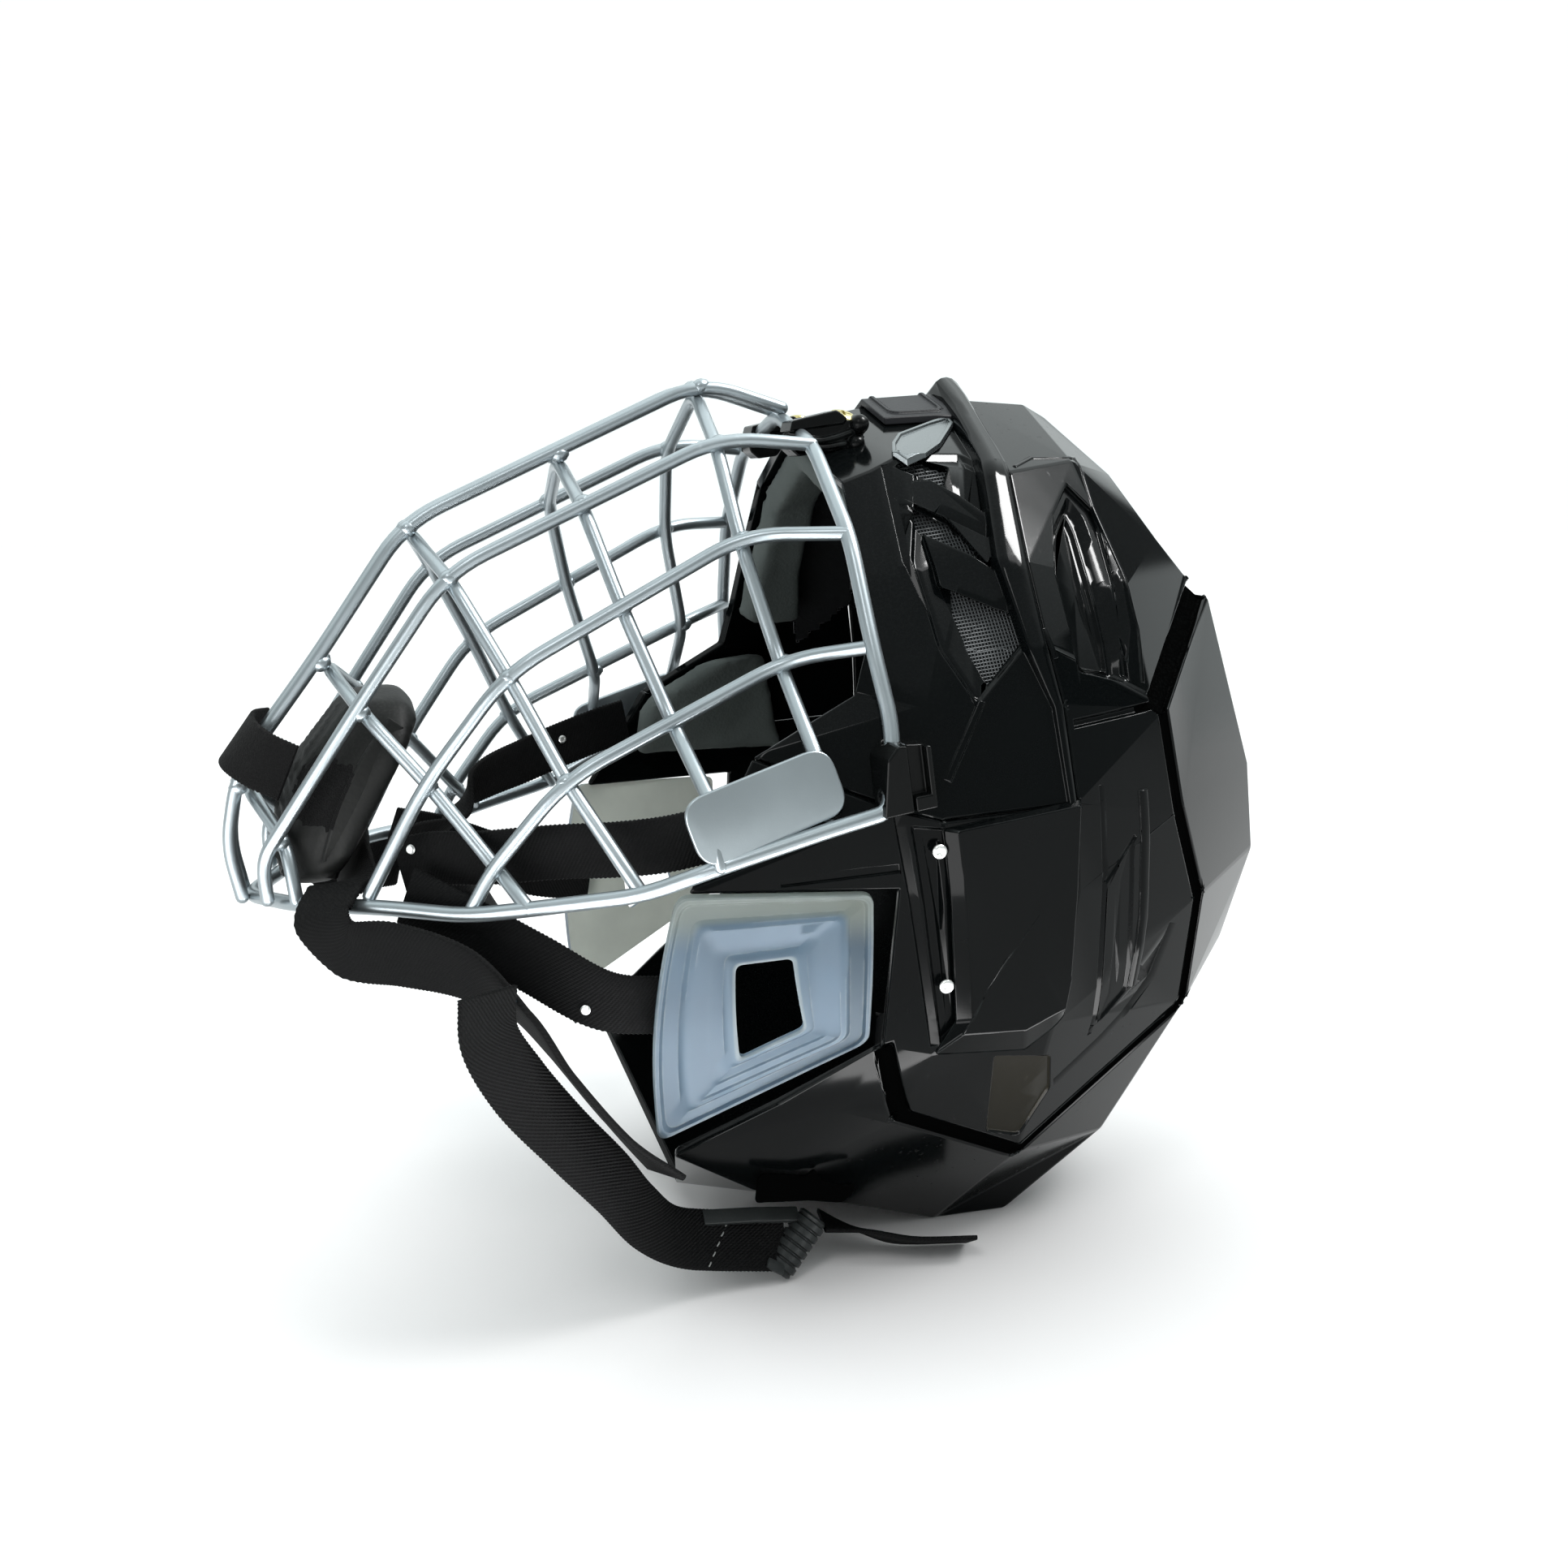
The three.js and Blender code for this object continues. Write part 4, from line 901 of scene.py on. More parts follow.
def pocket(rings, radius=2.0):
    """A recess in the shell with sloping sides, as the solid that cuts it; each ring is (corners, depth)."""
    verts = []
    for corners, depth in rings:
        verts += ring_on_shell(corners, radius, depth)
    count = len(verts) // len(rings)
    faces = ring_faces(len(rings), count)
    for ring in (0, len(rings) - 1):
        verts.append(sum((verts[ring * count + k] for k in range(count)), Vector()) / count)
        for k in range(count):
            faces.append((ring * count + k, ring * count + (k + 1) % count, len(verts) - 1))
    return outward(mesh_object("Pocket", verts, faces))


def sunk(corners, steps):
    """Rings of one outline, each moved in and sunk by its (distance, depth)."""
    return [(inset(corners, distance), depth) for distance, depth in steps]


def between(one, two, share):
    """The outline a share of the way from one outline to another."""
    return [tuple(Vector(p).lerp(Vector(q), share)) for p, q in zip(one, two)]


def strip_cut(width, depth):
    """Cross-section that tilts a strip of the surface down to one side."""
    half = width / 2
    return [(-half, 0.02), (half, -depth), (half, 3), (-half, 3)]


def groove_cut(width, depth):
    """Cross-section of a groove with sloping sides."""
    half = width / 2
    return [(-half, 2), (-half * 0.9, 0), (-half * 0.45, -depth), (half * 0.45, -depth), (half * 0.9, 0),
            (half, 2)]


def bead(width, height):
    """Cross-section of a rounded bead that stands on the surface."""
    half = width / 2
    top = [(-half * math.cos(a), height * math.sin(a)) for a in (k * math.pi / 8 for k in range(9))]
    return top + [(half, -1.0), (-half, -1.0)]


# ---- front shell
VENT_FIELD = [(100.5, 39), (93, 37.5), (72, 26.5), (48, 26.5), (31.5, 33.5), (48.5, 56.5), (66, 58.5),
              (90, 63), (98, 57)]
VENT_STEPS = [(0, -5), (0, 0), (0.5, 0.3), (1.3, 1.3), (3, 1.4)]  # distance in and depth
VENT_FINS = [
    [(92.5, 36.5), (86.5, 34.5), (81.4, 42.1), (68.1, 47.7), (76.9, 57.3), (87, 48.2), (92, 42)],
    [(78, 33.5), (71, 44.2), (66, 49), (57.5, 53), (53.9, 50.5), (56, 46), (61, 38), (64, 32.5)],
]
FIN_FACETS = [[(84.5, 41), (75.0, 54)], [(62.5, 37), (55.5, 50.5)]]
FIN_FACET = [(-1.6, 0.32), (2.4, -1.2), (2.4, 3), (-1.6, 3)]  # what the fins lose along each line
FRONT_CREASE = [(98, 31), (72, 25.8), (62.8, 27.2), (31.8, 34.2)]
FRONT_RIDGES = [[(33, 35), (14, 21)], [(49, 57.5), (40.5, 59)]]
LIP = [  # the raised lip of the front shell's rear edge, from the side round over the brow
    {"at": "side", "width": 2.4, "height": 1.2}, {"at": "gapBack", "width": 3.0, "height": 1.6},
    {"at": "gapFront", "width": 6.5, "height": 2.4}, {"at": "vent", "width": 9.5, "height": 3.4},
    {"at": "fore", "width": 8.5, "height": 4.2}, {"at": "brow", "width": 9.0, "height": 7.0},
]


def front_lip():
    """The lip, as a bar whose width and height change from row to row."""
    rows = LIP + LIP[-2::-1]
    sides = [1] * len(LIP) + [-1] * (len(LIP) - 1)
    corners = [corner_at(row["at"], "seam", side) for row, side in zip(rows, sides)]
    normals = [CORNER_NORMALS[key_of(corner)] for corner in corners]
    points, ups, sizes = [], [], []
    steps = 6
    for k in range((len(rows) - 1) * steps + 1):
        i = min(k // steps, len(rows) - 2)
        t = k / steps - i
        points.append(corners[i].lerp(corners[i + 1], t))
        ups.append(normals[i].lerp(normals[i + 1], t).normalized())
        sizes.append([rows[i][what] * (1 - t) + rows[i + 1][what] * t for what in ("width", "height")])

    def section(k):
        width, height = sizes[k]
        top = []
        for j in range(9):
            lean = math.pi * j / 8
            top.append((-0.5 - width * (0.5 - 0.5 * math.cos(lean)), height * math.sin(lean) ** 0.7))
        return [(-0.5, -2.2)] + top + [(-0.5 - width, -2.2)]
    return sweep("Lip", points, ups, section)


def front_shell():
    """The front shell with its vent fields, fins, creases and lip."""
    shell = soften(cad_solid("front_shell"), 0.8, 3)
    cuts = [pocket(sunk(VENT_FIELD, VENT_STEPS)), bar_on_shell(FRONT_CREASE, strip_cut(2.4, 0.8))]
    combine(shell, "DIFFERENCE", both_sides(cuts))
    fins = [field(rounded_outline(outline, 0.8), 0.3, -2.6) for outline in VENT_FINS]
    for fin, path in zip(fins, FIN_FACETS):
        combine(fin, "DIFFERENCE", [bar_on_shell(path, FIN_FACET, 3.0)])
    ridges = [bar_on_shell(path, bead(2.0, 0.6), 3.0) for path in FRONT_RIDGES]
    combine(shell, "UNION", both_sides(fins + ridges) + [front_lip()])
    return soften(shell, 0.25, 2, 30)


# ---- rear shell
SLOT = [(84.6, 85.8), (77.1, 91.1), (59.6, 91.5), (43.8, 89.6),
        (29.1, 81.8), (35.6, 65.6), (63.2, 67.7), (75.5, 74.4)]
SLOT_MOUTH = [(80.4, 85), (74.4, 86), (58.1, 83.8), (40.5, 82.6),
              (31.6, 80.9), (36.6, 67.1), (63.4, 69.2), (74.2, 76.3)]
SLOT_FLOOR = [(75.8, 81.9), (71.5, 81.9), (56.7, 79), (42.4, 78.5),
              (34.7, 77.6), (37.5, 70.2), (62.8, 72), (72, 77.4)]
SLOT_STEPS = [  # share of the way from the mouth to the floor, and depth
    (0.18, 3.7), (0.36, 3.8), (0.44, 3.3), (0.6, 3.3), (0.68, 3.8), (0.8, 4.4), (1.0, 4.5)]
POD_LINE = [(92, 70), (93.5, 78.5), (91.3, 95.3), (77, 91.8), (59.6, 92.3), (42, 92), (28, 88)]
SLOT_CHANNEL = [(4, 8.5), (1.5, 18.3), (-55, 17.8), (-61, 10.0)]
LEAF = [(-14, 76.3), (-26, 65.6), (-71, 62.6), (-63, 74.6)]
STEP_LINES = [  # strips of the side field that lean inwards: way, width, depth
    ([(8, 5.6), (-60.5, 8.6)], 2.8, 1.1),
    ([(4, 66.3), (-25, 64.7), (-74, 61.2)], 1.8, 0.9),
    ([(-46, 92.0), (-62, 85.2), (-78, 66.5), (-89, 49.5)], 3.6, 1.0),
    ([(-5.8, -28), (-7, 4)], 2.6, 0.9),
]
GROOVE_LINES = [  # the same for grooves
    ([(22.3, 60.5), (21.8, 77), (21.6, 92)], 3.0, 1.4),
    ([(-13.7, 77), (-24.5, 65)], 1.6, 0.6),
]
RIB = [(-1, 81), (-40, 79.4), (-62, 76.2)]
ADJUSTER = [(-69.5, 27), (-75.5, 46.4), (-90, 49), (-106, 39.6), (-100.3, 28)]


def rear_shell():
    """The rear shell with its slots, channels, steps, grooves and ribs."""
    shell = soften(cad_solid("rear_shell"), 0.9, 3)
    boss = field(inset(SLOT, -0.5), -2.6, -6.8)
    slot = [(SLOT, -6), (SLOT, 0), (between(SLOT, SLOT_MOUTH, 0.15), 0.3), (SLOT_MOUTH, 3.1)]
    slot += [(between(SLOT_MOUTH, SLOT_FLOOR, share), depth) for share, depth in SLOT_STEPS]
    combine(shell, "UNION", both_sides([boss]))
    cuts = [pocket(slot, 1.3),
            pocket(sunk(SLOT_CHANNEL, [(0, -4), (0, 0), (0.8, 1.5), (3, 1.6)]), 1.0),
            pocket(sunk(LEAF, [(0, -4), (0, 0), (0.9, 0.8), (4, 0.9)])),
            pocket(sunk(ADJUSTER, [(0, -4), (0, 0), (0.6, 0.8), (5, 0.8)]), 1.5)]
    cuts += [bar_on_shell(path, strip_cut(width, depth)) for path, width, depth in STEP_LINES]
    cuts += [bar_on_shell(path, groove_cut(width, depth), 3.0) for path, width, depth in GROOVE_LINES]
    combine(shell, "DIFFERENCE", both_sides(cuts))
    combine(shell, "UNION", both_sides([bar_on_shell(RIB, bead(3.4, 1.1), 4.0),
                                        bar_on_shell(POD_LINE, bead(1.3, 0.45), 3.0)]))
    return soften(shell, 0.25, 2, 30)


def inside(outline):
    """A test of whether a flat place lies inside an outline."""
    def test(p, q):
        found = False
        for (p0, q0), (p1, q1) in zip(outline, outline[1:] + outline[:1]):
            if (q0 > q) != (q1 > q) and p < (p1 - p0) * (q - q0) / (q1 - q0) + p0:
                found = not found
        return found
    return test


def near_route(route, reach):
    """A test of whether a flat place lies within reach of a route."""
    runs = [(Vector(a), Vector(b)) for a, b in zip(route, route[1:])]

    def test(p, q):
        place = Vector((p, q))
        return any((place - closest_on(place, a, b)).length < reach for a, b in runs)
    return test


def paint_recess(obj, wanted, material):
    """Gives another material to what is sunk below the skin, where the side view test holds."""
    obj.data.materials.append(material)
    for face in obj.data.polygons:
        if wanted(face.center.x, face.center.z):
            if shell_tree().find_nearest(face.center)[3] > SUNK:
                face.material_index = len(obj.data.materials) - 1


SUNK = 0.4  # what lies this far off the skin is in a recess
CROWN_GAP = [(22, 91.5), (45.5, 134), (43.5, 143)]
SIDE_GROOVE = [(20, 93), (-11, 95), (-40, 103), (-78, 101), (-113, 40), (-84, -1), (-58, -6)]


# ---- vents, badge and side panels
PATCH_START, PATCH_SIZE = (33, 27), (71, 32)  # forward and up
VENT_PATCH = [(103, 41), (99, 32), (88, 29), (66, 28), (34, 35), (47, 57.5), (66, 54), (92, 53)]


def mesh_patch(pitch, sink):
    """Grid of small faces on the back of the front shell, over the vent windows."""
    verts, faces, index = [], [], {}
    (forward, up), (rows, columns) = PATCH_START, (round(size / pitch) for size in PATCH_SIZE)
    for r in range(rows + 1):
        for c in range(columns + 1):
            point, normal = on_shell(forward + r * pitch, up + c * pitch)
            index[r, c] = len(verts)
            verts.append(point - normal * sink)
    window = inside(VENT_PATCH)
    for r in range(rows):
        for c in range(columns):
            if window(forward + (r + 0.5) * pitch, up + (c + 0.5) * pitch):
                faces.append((index[r, c], index[r + 1, c], index[r + 1, c + 1], index[r, c + 1]))
    patch = mesh_object("Patch", verts, faces)
    edit(patch, lambda bm: bmesh.ops.delete(
        bm, geom=[v for v in bm.verts if not v.link_faces], context="VERTS"))
    return patch


PANEL_FOOT = [(1.6, 17.3), (2.2, 58.0), (-49.4, 50.8), (-61.1, 48.2), (-69.6, 36.6), (-62.8, 8.2),
              (-54.5, 15.1)]
PANEL_TOP = [(0.8, 20.5), (1.0, 56.8), (-48.8, 49.5), (-57.6, 47.0), (-61.2, 35.0), (-57.6, 15.6),
             (-54.0, 19.3)]
PANEL_MIDDLE = (-28.0, 36.0)


def side_panel():
    """Raised panel with sloping edges; its rings follow the shell from its back round to its face."""
    centre = [PANEL_MIDDLE] * len(PANEL_TOP)
    inner = [between(PANEL_TOP, centre, share) for share in (0.2, 0.45, 0.7)]
    rings = [(corners, -0.3) for corners in inner[::-1] + [PANEL_FOOT]]
    rings += [(PANEL_FOOT, -0.5), (PANEL_TOP, -3.0)] + [(corners, -3.0) for corners in inner]
    panel = pocket(rings, 0.8)
    last = len(panel.data.vertices) - 1
    start = last - 1 - 3 * (last - 1) // len(rings)
    relax(panel, 12, [*range(start, last - 1), last])
    return soften(panel, 0.4, 2, 19, merge=0.02)


BADGE_LINE = [(-16.5, 45), (16.5, 45), (17.5, 63), (-17.5, 63)]


def front_field(outline, outer, inner, reach=FRONT_REACH):
    """The part of an offset wall of the front shell that lies inside a front outline."""
    return combine(layer(fronts, outer, inner), "INTERSECT", [prism(outline, *reach, "front")])


def badge():
    """The badge plate with a raised rim."""
    plate = cad_solid("brow_badge")
    rim = front_field(rounded_outline(BADGE_LINE, 4), 3.3, 1.2)
    combine(rim, "DIFFERENCE", [prism(rounded_outline(inset(BADGE_LINE, 1.3), 3.2), *FRONT_CUT, "front")])
    combine(plate, "UNION", [rim])
    return soften(plate, 0.5, 3)


TRIM_LINE = [(30.5, 41.5), (17.8, 63.0), (22.5, 63.0), (38.3, 51.5), (46.0, 43.5), (47.5, 37.0), (44.3, 34.0),
             (37.8, 36.6)]


def brow_trim():
    """Bright insert beside the badge: a thin plate with a raised rim."""
    trim = front_field(TRIM_LINE, 1.8, 0.35)
    combine(trim, "DIFFERENCE", [front_field(inset(TRIM_LINE, 1.1), 4.0, 1.0, FRONT_CUT)])
    return soften(trim, 0.3, 2, 20)


# ---- ear guards
EAR_CORNERS = {"front_low": (-4.5, 84.5, -54), "front_high": (-13, 92.5, -3.2),
               "back_low": (-77, 73, -68), "back_high": (-55.5, 88.8, -8.5)}
EAR_WINDOW = [(0.309, 0.348), (0.325, 0.613), (0.742, 0.685), (0.777, 0.392)]  # shares of the two ways
EAR_BOW, EAR_BELLY, EAR_THICK = 6.0, 1.5, 2.4  # wave of the lower edge, swell outwards, wall
EAR_STEPS = [  # share of the way in from the edge to the window, height
    (0.0, -0.5), (0.0, 0.6), (0.02, 1.0), (0.07, 0.9), (0.11, -0.3), (0.3, -0.5), (0.36, 0.5), (0.44, 0.6),
    (0.48, 0.1), (0.62, 0.0), (0.66, -0.5), (0.84, -0.8), (0.9, 0.1), (0.97, 0.2), (1.0, -0.1), (1.0, -0.8),
]
EAR_BACK = [(1.0, 0.3), (0.6, 0.0), (0.0, 0.0)]  # the same on the back, with the height off its flat


def guard_point(i, j):
    """Place on the ear guard's middle surface; i runs back and j runs up."""
    c = {key: Vector(value) for key, value in EAR_CORNERS.items()}
    low = c["front_low"].lerp(c["back_low"], i)
    high = c["front_high"].lerp(c["back_high"], i)
    point = low.lerp(high, j)
    point.y += math.sin(math.pi * i) * EAR_BELLY
    point.z -= math.sin(math.pi * (3 * i + 0.4) / 3.8) * EAR_BOW * (1 - j)
    return point


def guard_loop(outline):
    """Corners of a rounded outline with its long sides cut into short pieces."""
    corners = [Vector((p, q, 0)) for p, q in outline]
    loop = []
    for corner, after in zip(corners, corners[1:] + corners[:1]):
        pieces = 1 if (after - corner).length < 0.08 else 16
        loop += [corner.lerp(after, k / pieces) for k in range(pieces)]
    return loop


def ear_guard():
    """Guard of stepped rings from its edge in to its window, round to the back."""
    edge = [(0.004, 0.0), (0.004, 0.985), (1.0, 0.985), (1.0, 0.0)]
    outer = guard_loop(rounded_outline(edge, 0.06, 6))
    inner = guard_loop(rounded_outline(EAR_WINDOW, 0.035, 6))
    count = len(outer)
    normal = (guard_point(1, 0) - guard_point(0, 1)).cross(guard_point(1, 1) - guard_point(0, 0)).normalized()
    normal = normal if normal.y > 0 else -normal
    verts = []
    for share, height in EAR_STEPS + [(share, height - EAR_THICK) for share, height in EAR_BACK]:
        for a, b in zip(outer, inner):
            at = a.lerp(b, share)
            verts.append(guard_point(at.x, at.y) + normal * height)
    faces = ring_faces(len(EAR_STEPS) + len(EAR_BACK), count, closed=True)
    guard = outward(mesh_object("Ear guard", verts, faces))
    ring = guard.data.attributes.new("ring", "FLOAT", "POINT")
    for k, (share, _) in enumerate(EAR_STEPS):
        for n in range(count):
            ring.data[k * count + n].value = share
    guard.data.materials.append(finish("ear_plastic"))
    guard.data.materials.append(finish("ear_inside"))
    # Faces that look inwards get the near-white plastic: painted light shining through from behind.
    for face in guard.data.polygons:
        face.material_index = int(face.normal.dot(normal) < -0.3)
    return guard


# ---- Geometry Nodes
GEOMETRY, OBJECT, MATERIAL = "NodeSocketGeometry", "NodeSocketObject", "NodeSocketMaterial"
PLACING = ("axis", "aside")  # attributes that turn a copy at its point


def finished(tree, out, shape, look):
    """Ends a tree: real geometry with its material."""
    real = put(tree, "GeometryNodeRealizeInstances", {"Geometry": shape}).outputs[0]
    coat = put(tree, "GeometryNodeSetMaterial", {"Geometry": real, "Material": look})
    feed(tree, out, {"Geometry": coat.outputs[0]})
    return tree


@group_once
def wire_mesh(name):
    """Round wire along every edge of a sheet of small faces."""
    tree, given, out = new_group(name, "GeometryNodeTree", [
        ("Geometry", GEOMETRY, None), ("Wire radius", FLOAT, 0.2), ("Finish", MATERIAL, None)],
        [("Geometry", GEOMETRY)])
    wires = put(tree, "GeometryNodeMeshToCurve", {"Mesh": given["Geometry"]}).outputs[0]
    ring = put(tree, "GeometryNodeCurvePrimitiveCircle", {"Resolution": 4, "Radius": given["Wire radius"]})
    solid = put(tree, "GeometryNodeCurveToMesh", {"Curve": wires, "Profile Curve": ring.outputs[0]})
    return finished(tree, out, solid.outputs[0], given["Finish"])


@group_once
def copies_at_points(name):
    """One small shape at every point, its Z along the point's axis and its X along the point's aside."""
    tree, given, out = new_group(name, "GeometryNodeTree", [
        ("Geometry", GEOMETRY, None), ("Shape", OBJECT, None), ("Size", FLOAT, 1.0),
        ("Finish", MATERIAL, None)], [("Geometry", GEOMETRY)])
    shape = put(tree, "GeometryNodeObjectInfo", {"Object": given["Shape"]}).outputs["Geometry"]
    axis, aside = (put(tree, "GeometryNodeInputNamedAttribute", {"Name": label},
                       data_type="FLOAT_VECTOR").outputs[0] for label in PLACING)
    turn = put(tree, "FunctionNodeAxesToRotation", {"Primary Axis": axis, "Secondary Axis": aside},
               primary_axis="Z", secondary_axis="X").outputs[0]
    copies = put(tree, "GeometryNodeInstanceOnPoints", {
        "Points": given["Geometry"], "Instance": shape, "Rotation": turn, "Scale": given["Size"]})
    return finished(tree, out, copies.outputs[0], given["Finish"])


def grow(obj, builder, **inputs):
    """Turns obj into the plain mesh that a Geometry Nodes tree makes of it."""
    tree = builder()
    step = obj.modifiers.new(tree.name, "NODES")
    step.node_group = tree
    for item in tree.interface.items_tree:
        label = item.name.replace(" ", "_")
        if item.item_type == "SOCKET" and item.in_out == "INPUT" and label in inputs:
            step[item.identifier] = inputs[label]
    return settle(obj)


def repeated(name, shape, places, look, size=1.0):
    """Copies of shape at places, each (point, axis, aside); shape is used up."""
    points = mesh_object(name, [place[0] for place in places], [])
    for column, label in enumerate(PLACING, 1):
        values = points.data.attributes.new(label, "FLOAT_VECTOR", "POINT")
        for k, place in enumerate(places):
            values.data[k].vector = Vector(place[column]).normalized()
    grow(points, copies_at_points, Shape=shape, Size=size, Finish=look)
    discard(shape)
    for label in PLACING:
        if label in points.data.attributes:
            points.data.attributes.remove(points.data.attributes[label])
    return points


def lathe(name, profile, sides=28):
    """A turned shape about Z; profile runs from the axis at the bottom to the axis at the top."""
    verts, faces = [Vector((0, 0, profile[0][1]))], []
    for radius, height in profile[1:-1]:
        for k in range(sides):
            angle = 2 * math.pi * k / sides
            verts.append(Vector((radius * math.cos(angle), radius * math.sin(angle), height)))
    verts.append(Vector((0, 0, profile[-1][1])))
    rings = len(profile) - 2
    for k in range(sides):
        n = (k + 1) % sides
        faces.append((0, 1 + n, 1 + k))
        for r in range(rings - 1):
            low, high = 1 + r * sides, 1 + (r + 1) * sides
            faces.append((low + k, low + n, high + n, high + k))
        top = 1 + (rings - 1) * sides
        faces.append((top + k, top + n, len(verts) - 1))
    return outward(mesh_object(name, verts, faces))


# ---- screws and snaps
SCREW_HEAD = [(0, -2.2), (2.0, -2.2), (2.0, -0.8), (3.9, -0.8), (4.2, -0.5), (4.1, 0.2), (3.6, 0.75),
              (2.6, 1.1), (0, 1.2)]
SCREW_CROSS = {"length": 2.3, "width": 0.45, "floor": 0.3, "top": 1.9}  # half length and half width
SNAP_STUD = [(0, -0.9), (2.3, -0.9), (2.5, -0.6), (2.5, -0.3), (2.0, 0.0), (1.9, 0.4), (2.1, 0.6),
             (1.9, 0.85), (1.4, 0.9), (1.2, 0.6), (0.6, 0.55), (0, 0.55)]


def screw_head():
    """A pan head with a cross recess."""
    head = lathe("Head", SCREW_HEAD)
    long, wide = SCREW_CROSS["length"], SCREW_CROSS["width"]
    cuts = [prism([(-p, SCREW_CROSS["floor"]), (p, SCREW_CROSS["floor"]), (p, SCREW_CROSS["top"]),
                   (-p, SCREW_CROSS["top"])], -q, q) for p, q in ((long, wide), (wide, long))]
    combine(head, "DIFFERENCE", cuts)
    return soften(head, 0.14, 2, 30)


# ---- cage
WIRE_BEND, CROSS_BEND, WELD = 12, 8, 3.3  # bends, and how far the cross wires lie inside the uprights
WELD_BEAD = [(0, -3), (1.3, -2.6), (2.2, -1.2), (2.4, 0), (2.2, 1.2), (1.3, 2.6), (0, 3)]
UPRIGHTS = (
    ((118, 6, 14), (129, 6, -10), (100, 6, -104), (65, 6, -136), (37, 6, -164), (16, 6, -171),
     (0, 6, -170)),
    ((106.5, 38, 12), (112, 35, -14), (86, 36, -97), (52, 31, -128), (14, 25, -161), (2, 24, -162)),
    ((82, 66.5, 10), (85, 52, -15), (58, 53, -87), (30, 45, -114), (2, 43, -134)),
    ((52, 81, 8), (50, 64, -11), (29, 68, -78), (7, 62, -101), (-4, 61, -109)),
)
CROSS_WIRES = (  # where each crosses the uprights from the centre out, and where it meets the rim wire
    (((129, 0, -10), (112, 35, -14), (85, 52, -15), (50, 64, -11)), (27.5, 88.7, -14)),
    (((115, 0, -56), (101, 35, -56), (72, 52, -52), (39, 66, -45)), (21.5, 89.4, -44.5)),
    (((100, 0, -104), (86, 36, -97), (58, 53, -87), (29, 68, -78)), (-2, 84, -65)),
    (((65, 0, -136), (52, 31, -128), (30, 45, -114), (7, 62, -101)), (-3, 72, -94)),
    (((33, 0, -166), (18, 24, -157)), (1, 28, -154)),
)
RIM_ROUTE = ((116, 0, 14), (106, 39, 12), (81, 68, 10), (52, 82, 8), (30, 90.5, 8), (10, 97, 2),
             (8, 95.5, -14), (3, 92.5, -47), (-2, 85, -65), (-3, 72, -94), (-4, 62, -110), (-1, 48, -130),
             (0, 27, -155), (-1, 0, -169))
CAGE_MIDDLE = Vector((-10, 0, -60))  # the cage bulges away from here
PLATE = {"length": 43, "width": 19, "thickness": 2.0, "corner": 7, "centre": (16.7, 92, -30.3),
         "tilt": -79, "yaw": -8}  # degrees
PLATE_TABS = ((-45, 0, 3.5), (-14, 1, 8))  # height, lift at the plate, place on the rim wire


def other_side(points):
    """The same points on the right."""
    return [(f, -s, u) for f, s, u in points]


def side_plate():
    """The plate at the side of the cage, and the tabs that hold it to the rim wire."""
    half, width, corner = PLATE["length"] / 2, PLATE["width"] / 2, PLATE["corner"]
    outline = rounded_outline([(-half, -width), (half, -width), (half, width), (-half, width)], corner, 8)
    plate = prism(outline, -PLATE["thickness"] / 2, PLATE["thickness"] / 2)
    yaw = Matrix.Rotation(math.radians(PLATE["yaw"]), 4, "Z")
    turn = yaw @ Matrix.Rotation(math.radians(PLATE["tilt"]), 4, "Y")
    plate.data.transform(Matrix.Translation(PLATE["centre"]) @ turn)
    soften(plate, 0.5, 3, 40)
    tabs = [tube("Tab", [(8.4, 92.4, up + lift * 0.6), (rim, 93.5, up)], 1.8) for up, lift, rim in PLATE_TABS]
    return [plate] + tabs


def cage_wires(radius):
    """All wires and plates of the cage, and where its weld beads sit."""
    def inward(point):
        return Vector(point) + (CAGE_MIDDLE - Vector(point)).normalized() * WELD

    parts, welds = [], []
    for points in UPRIGHTS:
        for side in (points, other_side(points)):
            parts.append(tube("Upright", rounded(side, WIRE_BEND), radius))
    for crossings, end in CROSS_WIRES:
        half = [inward(p) for p in crossings[1:]] + [Vector(end)]
        way = other_side(half)[::-1] + [inward(crossings[0])] + half
        parts.append(tube("Cross wire", rounded(way, CROSS_BEND), radius))
        for f, s, u in crossings[1:]:
            for side in (1, -1):
                at = Vector((f, s * side, u))
                welds.append(((at + inward(at)) / 2, (0.25, 0, 1), (1, 0, 0)))
        for side in (1, -1):
            centre = Vector(crossings[0])
            beside = Vector((0, UPRIGHTS[0][0][1] * side, 0))
            welds.append(((centre + inward(centre)) / 2 + beside, (0.3, 0, 1), (1, 0, 0)))
    middle = (Vector(RIM_ROUTE[5]) + Vector(RIM_ROUTE[6])) / 2
    ring = [middle, *RIM_ROUTE[6:], *other_side(RIM_ROUTE[-2::-1]), *RIM_ROUTE[1:6], middle]
    parts.append(tube("Rim wire", rounded(ring, CROSS_BEND)[:-1], radius * 1.1, closed=True))
    parts += both_sides(side_plate())
    return parts, welds


def cage():
    """The welded cage as one object."""
    parts, welds = cage_wires(bpy.context.scene.helmet_sizes.wire_diameter / MM / 2)
    parts.append(repeated("Weld beads", lathe("Weld bead", WELD_BEAD, 12), welds, finish("cage_coat")))
    return shade(join("Cage", parts), 50, weighted=False)


